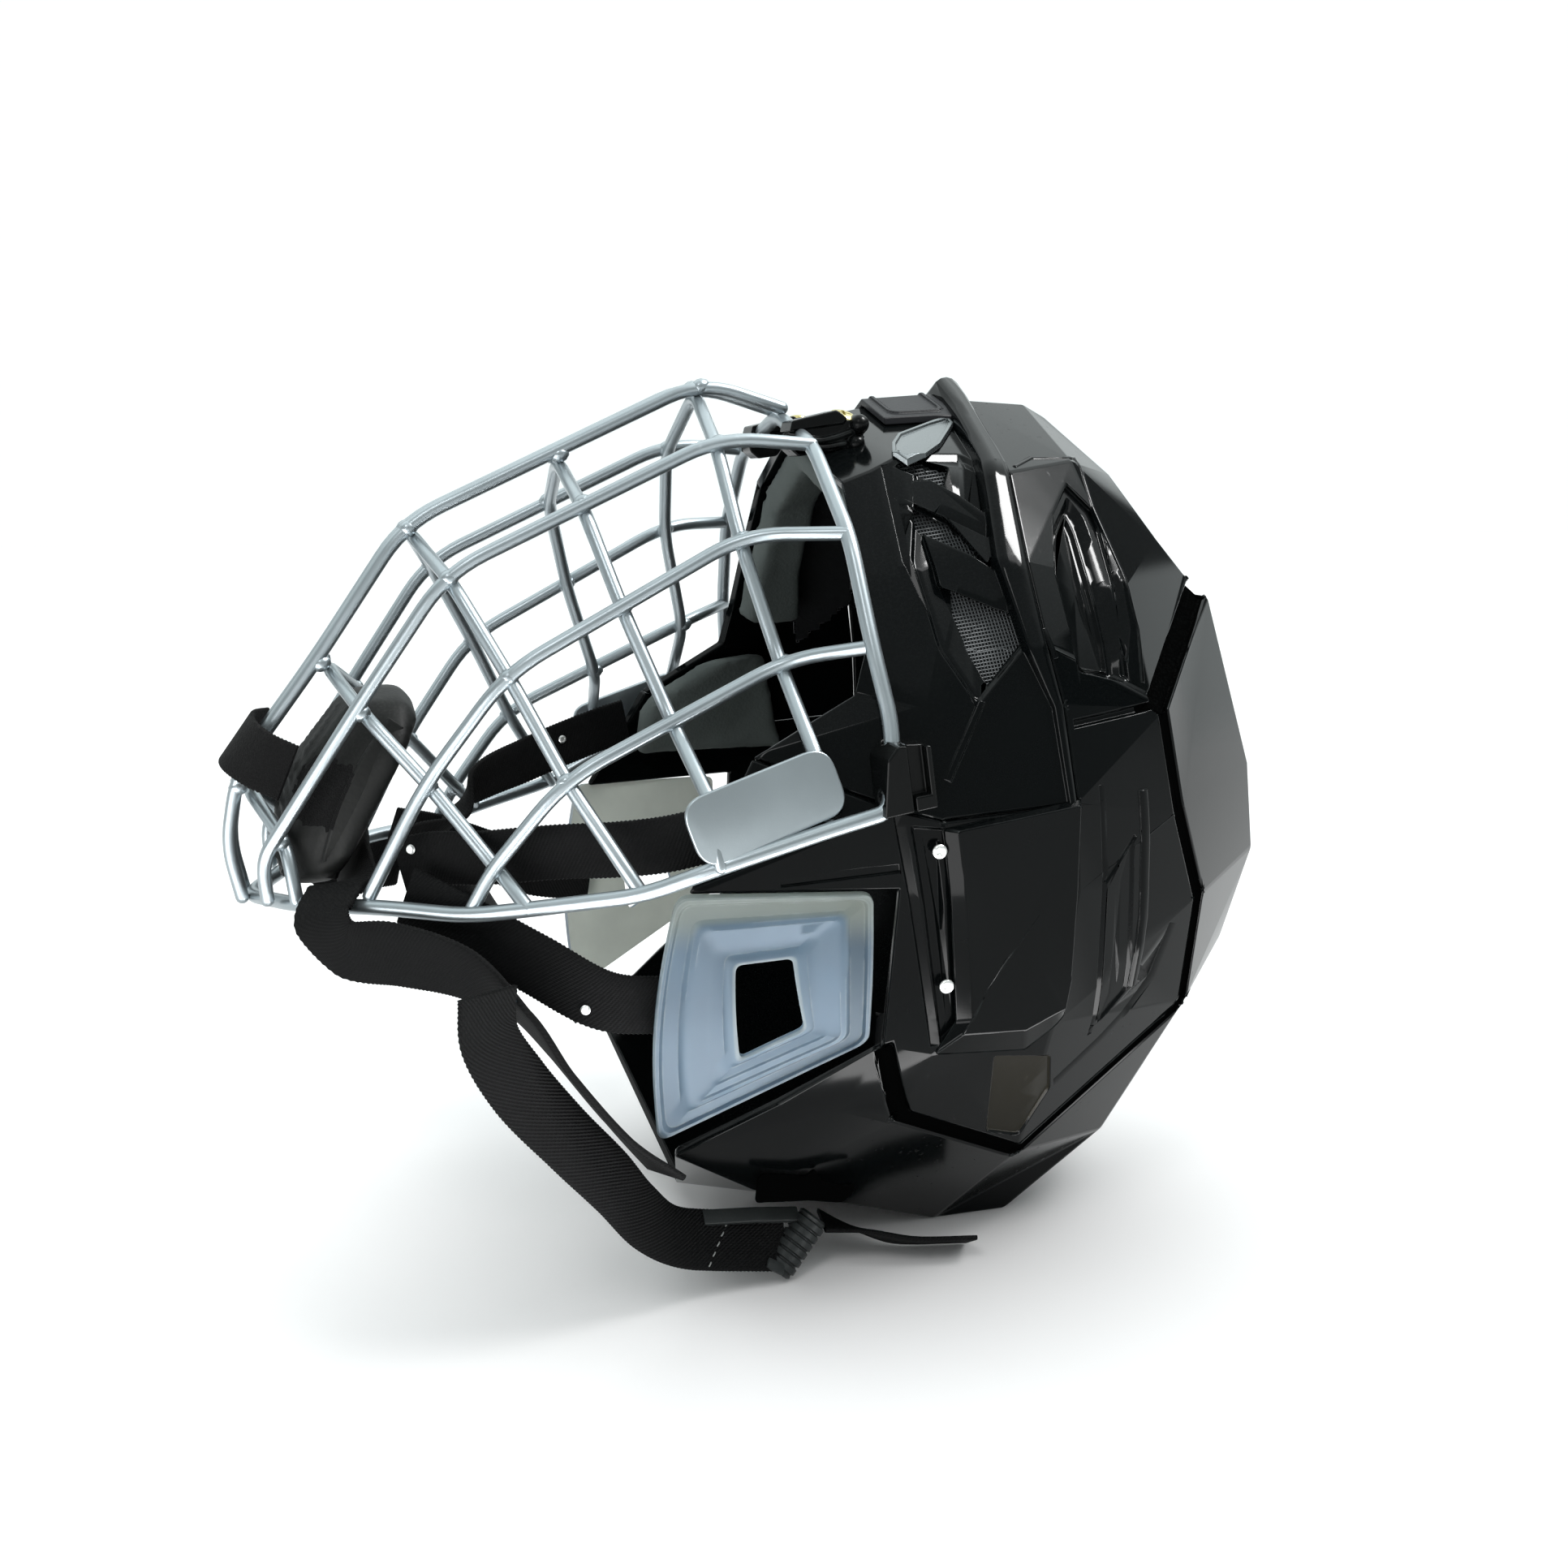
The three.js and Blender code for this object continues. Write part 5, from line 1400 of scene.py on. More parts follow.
# ---- clips
FOREHEAD_BODY = [(103.4, 11), (103.4, 29), (106, 32), (110.5, 32), (112.2, 27), (111.6, 12),
                 (109.5, 8.3), (106, 8.6)]
FOREHEAD_CAP = [(111.0, 9.2), (113.9, 10.4), (115.2, 24.5), (112.6, 27.4), (111.0, 26)]
FOREHEAD_WAVES = [  # raised lines along the clip's near face
    ([(109.8, 8.8), (108.8, 13), (107.0, 18), (107.4, 23), (108.4, 28)], 0.9),
    ([(107.0, 9.4), (105.6, 14), (104.9, 20), (105.2, 26)], 0.8),
]
FOREHEAD_LOBES = [((110.2, 31.0), 3.0), ((104.8, 29.4), 2.6)]
SIDE_CLIP = {"middle": Vector((17.3, 0, 8.0)), "size": Vector((0.68, 1, 0.66)),
             "shift": Vector((1.2, 0, -1.4))}
SIDE_CLIP_CUTS = (  # forward from and to, up from and to, how deep in from the left
    (13.4, 30, 8.4, 13, 97.5), (0, 40, 7.8, 8.4, 94.0))


def forehead_clip():
    """Clip that holds the cage at the forehead: a stepped body, a flat cap and lobes by its screw."""
    clip = prism(FOREHEAD_BODY, 17, 27)
    cap = prism(FOREHEAD_CAP, 16.4, 27.6)
    lobes = [tube("Lobe", [(f, 18.6, u), (f, 27.2, u)], radius, 20) for (f, u), radius in FOREHEAD_LOBES]
    waves = [tube("Wave", rounded([(f, 27, u) for f, u in way], 2), radius, 10, 2)
             for way, radius in FOREHEAD_WAVES]
    combine(clip, "UNION", [cap, *lobes, *waves])
    return soften(clip, 0.5, 3, 24)


def side_clip():
    """Two-part clip that holds the end of the cage's side wire."""
    clip = cad_solid("side_clip_left")
    middle, size = SIDE_CLIP["middle"], SIDE_CLIP["size"]
    for vert in clip.data.vertices:
        vert.co = middle + (vert.co - middle) * size + SIDE_CLIP["shift"]
    combine(clip, "DIFFERENCE", [prism([(f0, u0), (f1, u0), (f1, u1), (f0, u1)], depth, 110)
                                 for f0, f1, u0, u1, depth in SIDE_CLIP_CUTS])
    return soften(clip, 0.6, 3, 20)


# ---- liner
def padding(node, voxel, rounds):
    """A pad: a copy of the CAD solid with even small faces and softened edges."""
    pad = cad_solid(node)
    step = pad.modifiers.new("Even faces", "REMESH")
    step.mode, step.voxel_size = "VOXEL", voxel
    step.use_smooth_shade = True
    settle(pad)
    relax(pad, rounds)
    pad.data.shade_smooth()
    return pad


def press_lines(pad, lines, depth, reach):
    """Presses sewn or moulded lines into a pad; each line is a list of points near its surface."""
    runs = [(Vector(a), Vector(b)) for line in lines for a, b in zip(line, line[1:])]

    def press(bm):
        bm.normal_update()
        moves = []
        for vert in bm.verts:
            near = min(((vert.co - closest_on(vert.co, a, b)).length for a, b in runs), default=reach)
            if near < reach:
                moves.append((vert, vert.normal * (-depth * (1 - (near / reach) ** 2))))
        for vert, move in moves:
            vert.co += move
    edit(pad, press)
    return pad


def closest_on(point, start, end):
    """The place on a straight run that is closest to a point."""
    way = end - start
    t = min(max((point - start).dot(way) / max(way.length_squared, 1e-9), 0), 1)
    return start + way * t


CUP_EDGE = [(46, 26, -117.5), (37, 29.5, -126.5), (26.5, 30.5, -134.5), (14, 29, -141), (5, 24, -144.5)]
CUP_SEAM = [(43, 29, -124), (34, 32, -132.5), (24, 31, -140), (12, 28, -146.5)]
CUP_PATCH = [(42, -147), (36, -131), (18.5, -139), (22.5, -151)]
CUP_FLANGE = [(-2.6, -1.5), (2.6, -1.5), (2.9, -0.4), (2.2, 0.6), (-2.2, 0.6), (-2.9, -0.4)]
CUP_BULGE = 6.0  # how far the middle of its front stands out


def chin_cup():
    """Padded cup with a bulged front, a flange strip along each edge and a patch of loop fabric."""
    cup = padding("chin_cup", 1.8, 6)
    for vert in cup.data.vertices:
        front = max(0.0, -vert.normal.z * 0.8 - vert.normal.x * 0.1) * max(0.0, 1 - (vert.co.y / 25) ** 2)
        vert.co += Vector((0.3, 0, -1)) * (front * CUP_BULGE)
    press_lines(cup, [CUP_SEAM, other_side(CUP_SEAM)], 1.2, 2.4)
    cup.data.materials.append(finish("cup_skin"))
    edge = [Vector(p) for p in CUP_EDGE]
    way = [spline(edge, k / 20) for k in range(21)]
    strip = soften(sweep("Flange", way, [Vector((-0.1, 1, -0.05))] * len(way), lambda k: CUP_FLANGE),
                   0.35, 2, 30)
    strip.data.materials.append(finish("cup_skin"))
    cup = join("Cup", [cup, *both_sides([strip])])
    cup.data.materials.append(finish("hook_loop"))
    within = inside(CUP_PATCH)
    for face in cup.data.polygons:
        if abs(face.normal.y) > 0.35 and within(face.center.x, face.center.z):
            face.material_index = len(cup.data.materials) - 1
    return cup


CUP_TAB = (  # where the hook-and-loop tab round the front wires lies, and the direction across it
    ((45.0, -12, -158.0), (0.72, -0.1, 0.69)), ((46.5, 0, -162.0), (0.72, 0, 0.69)),
    ((45.0, 10, -161.5), (0.72, 0.1, 0.69)), ((41.0, 18, -156.5), (0.8, 0.1, 0.6)),
    ((36.5, 21.5, -149.5), (0.86, 0.1, 0.5)),
)


# ---- straps
WEBBING = {"width": 19, "thickness": 1.8}
CAGE_STRAP = {"width": 16, "thickness": 1.8}
REAR_WEBBING = {"width": 17, "thickness": 1.8}
TAIL_WEBBING = {"width": 17, "thickness": 1.4}
CAGE_STRAP_LEFT = (  # where each row lies, and the direction across the strap there
    ((8, 74, -40), (1, 0, 0.2)), ((7, 72, -54), (1, 0, 0.2)), ((7, 67, -67), (1, 0, 0.1)),
    ((8, 60, -83), (1, 0, 0)), ((8, 50, -102), (1, 0, 0)), ((8, 39, -116), (1, 0, 0.1)),
    ((6, 33, -124), (1, 0, 0.2)))
CAGE_STRAP_RIGHT = (
    ((17, -74.1, -36), (1, 0, 0.1)), ((16, -70, -48), (1, 0, 0.1)), ((12, -62, -74), (1, 0, 0.2)),
    ((8, -51, -95), (1, 0, 0.7)), ((-2, -41, -106), (0.7, 0, 1)), ((-4, -31, -120), (1, 0, 0.3)))
REAR_STRAP = (
    ((-38, 75, -58), (1, 0, 0.5)), ((-32, 75.5, -78), (1, 0, 0.5)), ((-19, 69, -95), (0.8, 0, 0.6)),
    ((-7, 56, -112), (0.8, 0, 0.5)), ((0, 43, -124), (0.9, 0, 0.4)))
CHIN_STRAP_NEAR = (
    ((3.5, 10, -137.3), (0.8, 0, 0.6)), ((2.5, 25, -138.5), (0.6, 0.3, 0.7)),
    ((4.5, 36, -142.5), (0, 0.64, 0.77)), ((-1.5, 43, -147.5), (0, 0.64, 0.77)),
    ((-10, 48, -143), (0.3, 0.6, 0.7)), ((-12, 57, -130), (0.8, 0.3, 0.4)),
    ((-18, 69, -113), (0.7, 0.6, 0.4)), ((-30, 77, -101), (0.1, 1, 0.3)),
    ((-46, 79, -93), (-0.1, 1, 0.2)), ((-70, 76, -80.5), (0, 1, 0.2)), ((-87, 72.5, -69), (0.3, 1, 0.3)))
CHIN_STRAP_FAR = tuple(((f, -s, u), (-a, b, -c) if s > 60 else (a, -b, c))
                       for (f, s, u), (a, b, c) in reversed(CHIN_STRAP_NEAR))
ADJUST_STRAP = (  # this and the tail are in the floor's frame
    ((-106, -90, 109), (0.8, 0.5, 0.1)), ((-106, -90, 97), (0.8, 0.55, 0.1)),
    ((-99, -89, 83), (0.8, 0.5, 0.3)), ((-86, -85, 65), (0.6, 0.6, 0.5)), ((-73, -79, 48), (0.5, 0.6, 0.6)),
    ((-63, -72, 33), (0.45, 0.65, 0.6)), ((-52, -65, 22), (0.31, 0.79, 0.5)),
    ((-39, -60, 16.5), (0.42, 0.74, 0.5)), ((-27, -58, 13.5), (0.5, 0.68, 0.5)),
    ((-17, -57, 12), (0.62, 0.5, 0.6)))
STRAP_TAIL = (
    ((-3, -51, 13.5), (0.3, 0.8, -0.1)), ((9, -53, 9.5), (0.1, 0.88, -0.4)),
    ((21, -57, 6.5), (0, 0.87, -0.5)), ((43, -61, 5.4), (0, 0.87, -0.5)))
STITCHES = {"start": 0.745, "end": 0.83, "reach": 7.8, "count": 6, "lift": 0.9}  # along, across and off it
STITCH = [(-1.0, -0.25), (-0.6, 0.12), (0, 0.2), (0.6, 0.12), (1.0, -0.25)]  # along and up
FLAP = [(-28.6, 30), (-27.8, 37.6), (-26.0, 38.8), (-19.2, 37.8), (-13, 36.4), (-10.4, 38.5), (-8.0, 34.2),
        (-1.6, 32.2), (2.6, 32.0), (1.6, 29), (-1.7, 26.4), (-12, 28.5)]  # hook fabric beside the buckle
FLAP_REACH = (-67.2, -65.8)  # left, from and to
PICOT, PICOT_DEPTH = 0.62, 0.28  # half the pitch of the loops along a webbing edge, and how deep they are


def strap_frame(rows, t):
    """Middle, direction along, direction across and outward direction of a strap at t of its way."""
    middles = [Vector(row[0]) for row in rows]
    sides = [Vector(row[1]) for row in rows]
    along = (spline(middles, t + 1e-4) - spline(middles, t - 1e-4)).normalized()
    across = spline(sides, t)
    across = (across - along * across.dot(along)).normalized()
    return spline(middles, t), along, across, along.cross(across).normalized()


def strap_stations(rows, step):
    """Values of t that stand equal steps apart along the strap."""
    count = 60 * (len(rows) - 1)
    middles = [Vector(row[0]) for row in rows]
    spots = [spline(middles, k / count) for k in range(count + 1)]
    runs = [0.0]
    for a, b in zip(spots, spots[1:]):
        runs.append(runs[-1] + (b - a).length)
    total = max(2, round(runs[-1] / step))
    result, i = [], 0
    for k in range(total + 1):
        goal = runs[-1] * k / total
        while i < count - 1 and runs[i + 1] < goal:
            i += 1
        share = (goal - runs[i]) / max(runs[i + 1] - runs[i], 1e-9)
        result.append((i + min(share, 1.0)) / count)
    return result, runs[-1] / total


def ribbon(name, rows, width, thickness):
    """A webbing strap with looped edges and a UV map in metres."""
    stations, step = strap_stations(rows, PICOT)
    frames = [strap_frame(rows, t) for t in stations]
    half, deep = width / 2, thickness / 2
    top = [(-half + 0.3, deep * 0.75), (-half + 0.8, deep), (-half * 0.45, deep * 1.02), (0, deep * 1.02),
           (half * 0.45, deep * 1.02), (half - 0.8, deep), (half - 0.3, deep * 0.75)]
    outline = [(-half, 0)] + top + [(half, 0)] + [(x, -y) for x, y in top[::-1]]

    def section(k):
        bite = PICOT_DEPTH if k % 2 else 0.0
        return [(x - math.copysign(bite, x) if abs(x) > half - 0.5 else x, y) for x, y in outline]
    strap = sweep(name, [f[0] for f in frames], [f[3] for f in frames], section)
    round_way = [0.0]
    for (x0, y0), (x1, y1) in zip(outline, outline[1:] + outline[:1]):
        round_way.append(round_way[-1] + math.dist((x0, y0), (x1, y1)))
    layer_uv = strap.data.uv_layers.new(name="Weave")
    sides = len(outline)
    for face in strap.data.polygons:
        spots = [divmod(strap.data.loops[i].vertex_index, sides) for i in face.loop_indices]
        wraps = {n for _, n in spots} >= {0, sides - 1}
        for i, (k, n) in zip(face.loop_indices, spots):
            layer_uv.data[i].uv = (round_way[sides if wraps and n == 0 else n] * MM, k * step * MM)
    return strap


def stitches_across(rows, start, end, reach, count, lift):
    """Places of a slanting row of stitches, from one edge of a strap to the other."""
    spots = []
    for k in range(count):
        way = k / (count - 1)
        point, along, across, out = strap_frame(rows, start + (end - start) * way)
        out = out if out.z > 0 else -out
        spots.append((point + across * (reach * (2 * way - 1)) + out * lift, out, across + along * 0.8))
    return spots


def stitch():
    """One stitch: a short thread that dips at its ends, along X."""
    return tube("Stitch", [(x, 0, z) for x, z in STITCH], 0.22, 6, 1)


# ---- buckle
ROLLER = {"at": (-13.5, -57, 10.3), "axis": (0.66, 0.2, 0.7), "radius": 4.7, "width": 20, "ribs": 6}
ROLLER_RIB = ((-0.46, -0.3), (-0.32, 0.5), (0.28, 0.5), (0.42, -0.3))  # share of its pitch, bulge
FLANGE = [(-42, -57, 22.6), (-26, -56, 20.8), (-12, -55, 18.6)]
FLANGE_CUT = [(-2.4, -0.9), (2.4, -0.9), (2.4, 0.6), (1.6, 0.9), (-1.6, 0.9), (-2.4, 0.6)]
ARM = [(-24, -63, 8.5), (-19, -63.5, 5.5)]
ARM_CUT = [(-1.6, -0.9), (1.6, -0.9), (1.6, 0.9), (-1.6, 0.9)]
BUCKLE_UP = (0.1, -0.6, 0.7)


def roller_profile():
    """Half outline of the thumb roller, with rings of ribs along it."""
    half, radius, ribs = ROLLER["width"] / 2, ROLLER["radius"], ROLLER["ribs"]
    pitch = (half * 2 - 3) / ribs
    profile = [(0, -half), (radius - 0.8, -half), (radius, -half + 0.7)]
    for k in range(ribs):
        middle = (k + 0.5 - ribs / 2) * pitch
        profile += [(radius + bulge, middle + away * pitch) for away, bulge in ROLLER_RIB]
    return profile + [(radius, half - 0.7), (radius - 0.8, half), (0, half)]


def buckle(look):
    """Ladder buckle: a slim flange along the webbing and a ribbed thumb roller."""
    place = (ROLLER["at"], ROLLER["axis"], (0, 1, 0))
    parts = [repeated("Roller", lathe("Turned", roller_profile()), [place], look)]
    for way, cut in ((FLANGE, FLANGE_CUT), (ARM, ARM_CUT)):
        bar = soften(sweep("Bar", way, [BUCKLE_UP] * len(way), lambda k: cut), 0.35, 2, 30)
        bar.data.materials.append(look)
        parts.append(bar)
    return join("Buckle", parts)


# ---- what a user may change
def colour(name, description, default):
    """A colour that a user may pick."""
    return bpy.props.FloatVectorProperty(name=name, description=description, size=3, subtype="COLOR",
                                         min=0, max=1, default=default)


def share(name, description, default):
    """A slider from 0 to 1."""
    return bpy.props.FloatProperty(name=name, description=description, subtype="FACTOR", min=0, max=1,
                                   default=default)


def length(name, description, default):
    """A distance in metres."""
    return bpy.props.FloatProperty(name=name, description=description, subtype="DISTANCE", unit="LENGTH",
                                   min=0, default=default)


class HelmetFinish(bpy.types.PropertyGroup):
    """Colours and roughness of the finishes"""

    shell_colour: colour("Shell", "Plastic of both shells", (0.0022, 0.0029, 0.0031))
    shell_gloss: share("Front roughness", "Roughness of the glossy front shell", 0.1)
    shell_satin: share("Rear roughness", "Roughness of the rear shell", 0.14)
    cage_colour: colour("Cage", "Coating of the cage wire", (0.31, 0.35, 0.37))
    guard_colour: colour("Ear guards", "Cloudy plastic of the ear guards", (0.125, 0.19, 0.27))
    foam_colour: colour("Foam", "Cut edge of the brow foam", (0.1, 0.115, 0.11))
    strap_colour: colour("Webbing", "Webbing of the straps", (0.0022, 0.0024, 0.0026))


class HelmetSizes(bpy.types.PropertyGroup):
    """Sizes of the wire parts"""

    wire_diameter: length("Wire diameter", "Diameter of the cage wire", 0.004)
    mesh_wire: length("Mesh wire", "Thickness of the wire in the vent mesh", 0.0004)
    mesh_pitch: length("Mesh pitch", "Distance between the wires of the vent mesh", 0.00095)


SLOT_SCREWS = (  # place, axis, and the way one arm of the recess points
    ("upper", ((-4, 96.6, 15), (-0.05, 1, -0.08), (0.3, 0, 1))),
    ("lower", ((-43, 95.0, 13), (-0.08, 1, -0.1), (0.3, 0, 1))),
)
FOREHEAD_SCREW = ((113.2, 22.8, 27.6), (0.9, 0.35, 0.26), (0.3, 0.9, 0))
STRAPS = (  # name, way, size, slot, CAD node
    ("ChinStrap", (*CHIN_STRAP_FAR, *CHIN_STRAP_NEAR), WEBBING, "webbing", "chin_strap"),
    ("CageStrap_left", CAGE_STRAP_LEFT, CAGE_STRAP, "satin_shell", "cage_strap_left"),
    ("CageStrap_right", CAGE_STRAP_RIGHT, CAGE_STRAP, "satin_shell", "cage_strap_right"),
)
SNAPS = (  # name, way of its strap, where along it, how far aside, CAD node
    ("RearStrapSnap", REAR_STRAP, 0.3, -4, "rear_strap_snap"),
    ("HarnessSnap", CAGE_STRAP_LEFT, 0.9, 4, "harness_snap"),
    ("FarStrapSnap", CAGE_STRAP_RIGHT, 0.3, 2, "far_strap_snap"),
)


def finish_pair(obj, name, look, slot, node, angle=38, weighted=True):
    """Finishes a left piece and its twin on the right."""
    for piece, side in ((mirrored(obj), "right"), (obj, "left")):
        shade(piece, angle, weighted)
        finish_piece(piece, f"{name}_{side}", look, slot, [f"{node}_{side}"])


class HELMET_OT_front_shell(bpy.types.Operator):
    """Glossy front shell with its vent fields and the raised lip of its rear edge"""

    bl_idname = "helmet.front_shell"
    bl_label = "Front shell"

    def execute(self, context):
        shell = shade(front_shell())
        finish_piece(shell, "FrontShell", finish("shell_gloss"), "gloss_shell", ["front_shell"])
        return {"FINISHED"}


class HELMET_OT_rear_shell(bpy.types.Operator):
    """Satin rear shell with the long slots, steps and grooves of its side fields"""

    bl_idname = "helmet.rear_shell"
    bl_label = "Rear shell"

    def execute(self, context):
        shell = rear_shell()
        shell.data.materials.clear()
        shell.data.materials.append(finish("shell_satin"))
        # Painted shade: the sunk faces of the crown gap and the side groove are painted matt black.
        paint_recess(shell, near_route(CROWN_GAP, 9), finish("matt_black"))
        paint_recess(shell, near_route(SIDE_GROOVE, 6), finish("matt_black"))
        paint_recess(shell, inside(ADJUSTER), finish("smoked_plastic"))
        finish_piece(shade(shell), "RearShell", None, "satin_shell", ["rear_shell"])
        return {"FINISHED"}


class HELMET_OT_side_panels(bpy.types.Operator):
    """Raised side panels and the screws beside them"""

    bl_idname = "helmet.side_panels"
    bl_label = "Side panels"

    def execute(self, context):
        finish_pair(side_panel(), "SidePanel", finish("shell_gloss"), "gloss_shell", "side_panel")
        look = finish("snap_metal")
        for name, place in SLOT_SCREWS:
            screw = repeated("Screw", screw_head(), [place], look, 0.5)
            finish_pair(screw, f"SlotScrew_{name}", look, "bright_trim", f"slot_screw_{name}", 30, False)
        return {"FINISHED"}


class HELMET_OT_vents(bpy.types.Operator):
    """Woven mesh behind the front shell's vents, with a dark sheet behind it as painted shade"""

    bl_idname = "helmet.vents"
    bl_label = "Vent mesh"

    def execute(self, context):
        sizes = context.scene.helmet_sizes
        mesh = grow(mesh_patch(sizes.mesh_pitch / MM, WALL + 0.6), wire_mesh,
                    Wire_radius=sizes.mesh_wire / MM / 2, Finish=finish("mesh_insert"))
        # A dark sheet just behind the mesh: painted shade inside the vent windows.
        shade_sheet = mesh_patch(2.4, WALL + 1.2)
        shade_sheet.data.materials.append(finish("dark_foam"))
        thick = shade_sheet.modifiers.new("Thickness", "SOLIDIFY")
        thick.thickness, thick.offset = 0.4, 0
        insert = join("Insert", [mesh, settle(shade_sheet)])
        finish_pair(insert, "VentMesh", None, "vent_mesh", "vent_mesh", 80, False)
        return {"FINISHED"}


class HELMET_OT_badge(bpy.types.Operator):
    """Bare badge plate on the brow, between two bright inserts"""

    bl_idname = "helmet.badge"
    bl_label = "Brow badge"

    def execute(self, context):
        finish_piece(shade(badge()), "BrowBadge", finish("badge_plate"), "satin_shell", ["brow_badge"])
        finish_pair(brow_trim(), "BrowTrim", finish("bright_metal"), "bright_trim", "brow_trim", 20)
        return {"FINISHED"}


class HELMET_OT_ear_guards(bpy.types.Operator):
    """Cloudy plastic ear guards with stepped faces"""

    bl_idname = "helmet.ear_guards"
    bl_label = "Ear guards"

    def execute(self, context):
        finish_pair(ear_guard(), "EarGuard", None, "ear_guard", "ear_guard", 35, False)
        return {"FINISHED"}


class HELMET_OT_liner(bpy.types.Operator):
    """Foam pads inside the shell"""

    bl_idname = "helmet.liner"
    bl_label = "Liner"

    def execute(self, context):
        brow = padding("brow_foam", 1.8, 4)
        crown = padding("crown_pad", 2.4, 8)
        nape = padding("nape_pad", 2.4, 8)
        temple = padding("temple_pad_left", 1.8, 5)
        for pad, name, look, node in ((brow, "BrowFoam", "brow_foam", "brow_foam"),
                                      (crown, "CrownPad", "dark_foam", "crown_pad"),
                                      (nape, "NapePad", "dark_foam", "nape_pad")):
            finish_piece(pad, name, finish(look), "liner_foam", [node])
        finish_pair(temple, "TemplePad", finish("brow_foam"), "liner_foam", "temple_pad", 60, False)
        return {"FINISHED"}


class HELMET_OT_cage(bpy.types.Operator):
    """Welded wire cage with its side plates"""

    bl_idname = "helmet.cage"
    bl_label = "Cage"

    def execute(self, context):
        finish_piece(cage(), "WireCage", finish("cage_coat"), "cage_wire", ["cage"])
        return {"FINISHED"}


class HELMET_OT_clips(bpy.types.Operator):
    """Clips and screws that hold the cage"""

    bl_idname = "helmet.clips"
    bl_label = "Cage clips"

    def execute(self, context):
        black = finish("fitting_black")
        finish_pair(forehead_clip(), "ForeheadClip", black, "satin_shell", "forehead_clip", 30)
        finish_pair(side_clip(), "SideClip", black, "satin_shell", "side_clip", 30)
        brass = finish("brass_metal")
        screw = repeated("Screw", screw_head(), [FOREHEAD_SCREW], brass)
        finish_pair(screw, "ForeheadScrew", brass, "brass", "forehead_screw", 30, False)
        return {"FINISHED"}


class HELMET_OT_chin_cup(bpy.types.Operator):
    """Padded chin cup and the hook-and-loop tab that holds it to the cage"""

    bl_idname = "helmet.chin_cup"
    bl_label = "Chin cup"

    def execute(self, context):
        cup = chin_cup()
        finish_piece(cup, "ChinCup", None, "cup_foam", ["chin_cup"])
        tab = ribbon("Tab", CUP_TAB, 17.5, 1.6)
        finish_piece(shade(tab, 50, False), "ChinCupTab", finish("hook_loop"), "webbing", ["chin_cup_tab"])
        return {"FINISHED"}


class HELMET_OT_straps(bpy.types.Operator):
    """Webbing of the chin strap and its harness, with snaps and stitches"""

    bl_idname = "helmet.straps"
    bl_label = "Straps"

    def execute(self, context):
        black, ribbed = finish("webbing_black"), finish("webbing_ribbed")
        for name, rows, size, slot, node in STRAPS:
            strap = ribbon(name, rows, size["width"], size["thickness"])
            finish_piece(shade(strap, 50, False), name, black, slot, [node])
        rear = ribbon("RearStrap", REAR_STRAP, REAR_WEBBING["width"], REAR_WEBBING["thickness"])
        finish_pair(rear, "RearStrap", black, "webbing", "rear_strap", 50, False)
        strap = ribbon("AdjustStrap", ADJUST_STRAP, WEBBING["width"], WEBBING["thickness"])
        strap.data.materials.append(ribbed)
        places = stitches_across(ADJUST_STRAP, **STITCHES)
        flap = soften(prism(rounded_outline(FLAP, 1.2, 3), *FLAP_REACH), 0.4, 2, 40)
        flap.data.materials.append(finish("matt_black"))
        strap = join("Strap", [strap, flap, repeated("Stitches", stitch(), places, finish("thread"))])
        finish_piece(shade(strap, 50, False), "AdjustStrap", None, "webbing", ["adjust_strap"], LOOSE)
        tail = ribbon("StrapTail", STRAP_TAIL, TAIL_WEBBING["width"], TAIL_WEBBING["thickness"])
        finish_piece(shade(tail, 50, False), "StrapTail", black, "webbing", ["strap_tail"], LOOSE)
        return {"FINISHED"}


class HELMET_OT_snaps(bpy.types.Operator):
    """Snap studs on the straps"""

    bl_idname = "helmet.snaps"
    bl_label = "Snaps"

    def execute(self, context):
        for name, rows, t, aside, node in SNAPS:
            point, _, across, out = strap_frame(rows, t)
            out = out if out.y > 0 else -out
            place = (point + across * aside + out * 1.4, out, across)
            stud = repeated(name, lathe("Stud", SNAP_STUD), [place], finish("snap_metal"), 0.55)
            finish_piece(shade(stud, 30, False), name, finish("snap_metal"), "bright_trim", [node])
        return {"FINISHED"}


class HELMET_OT_buckle(bpy.types.Operator):
    """Ladder buckle with a ribbed roller"""

    bl_idname = "helmet.buckle"
    bl_label = "Buckle"

    def execute(self, context):
        body = buckle(finish("roller_grey"))
        finish_piece(shade(body, 35, False), "StrapBuckle", None, "satin_shell", ["strap_buckle"], LOOSE)
        return {"FINISHED"}


# ---- stage
CAMERA = {"at": (-0.1362, -0.4832, 0.2376), "aim": (0.0069, 0.0, 0.1415), "lens": 36.2}
LIGHTS = (  # name, kind, place, aim, width and height in metres or angle in radians, watts
    ("Fill", "SUN", (0.65, -0.42, 1.4), (0, 0, 0.1), (0.35, 0), 0.6),
    ("Front", "AREA", (-0.6, -0.9, 1.2), (0, 0, 0.15), (0.25, 0.4), 3.0),
    ("High card", "AREA", (0.78, -0.26, 1.43), (0.02, 0, 0.15), (0.36, 0.5), 40.0),
    ("Low card", "AREA", (-0.5, -0.4, 0.1), (0, -0.08, 0.1), (0.5, 0.2), 2.0),
    ("Left card", "AREA", (-0.3, -0.28, 0.003), (-0.3, -0.28, 1.0), (0.3, 0.3), 1.6),
    ("Near card", "AREA", (0.03, -0.16, 0.003), (0.03, -0.16, 1.0), (0.3, 0.07), 1.0),
)
NEAR_SIDE = (-0.28, -0.95, 0.05)


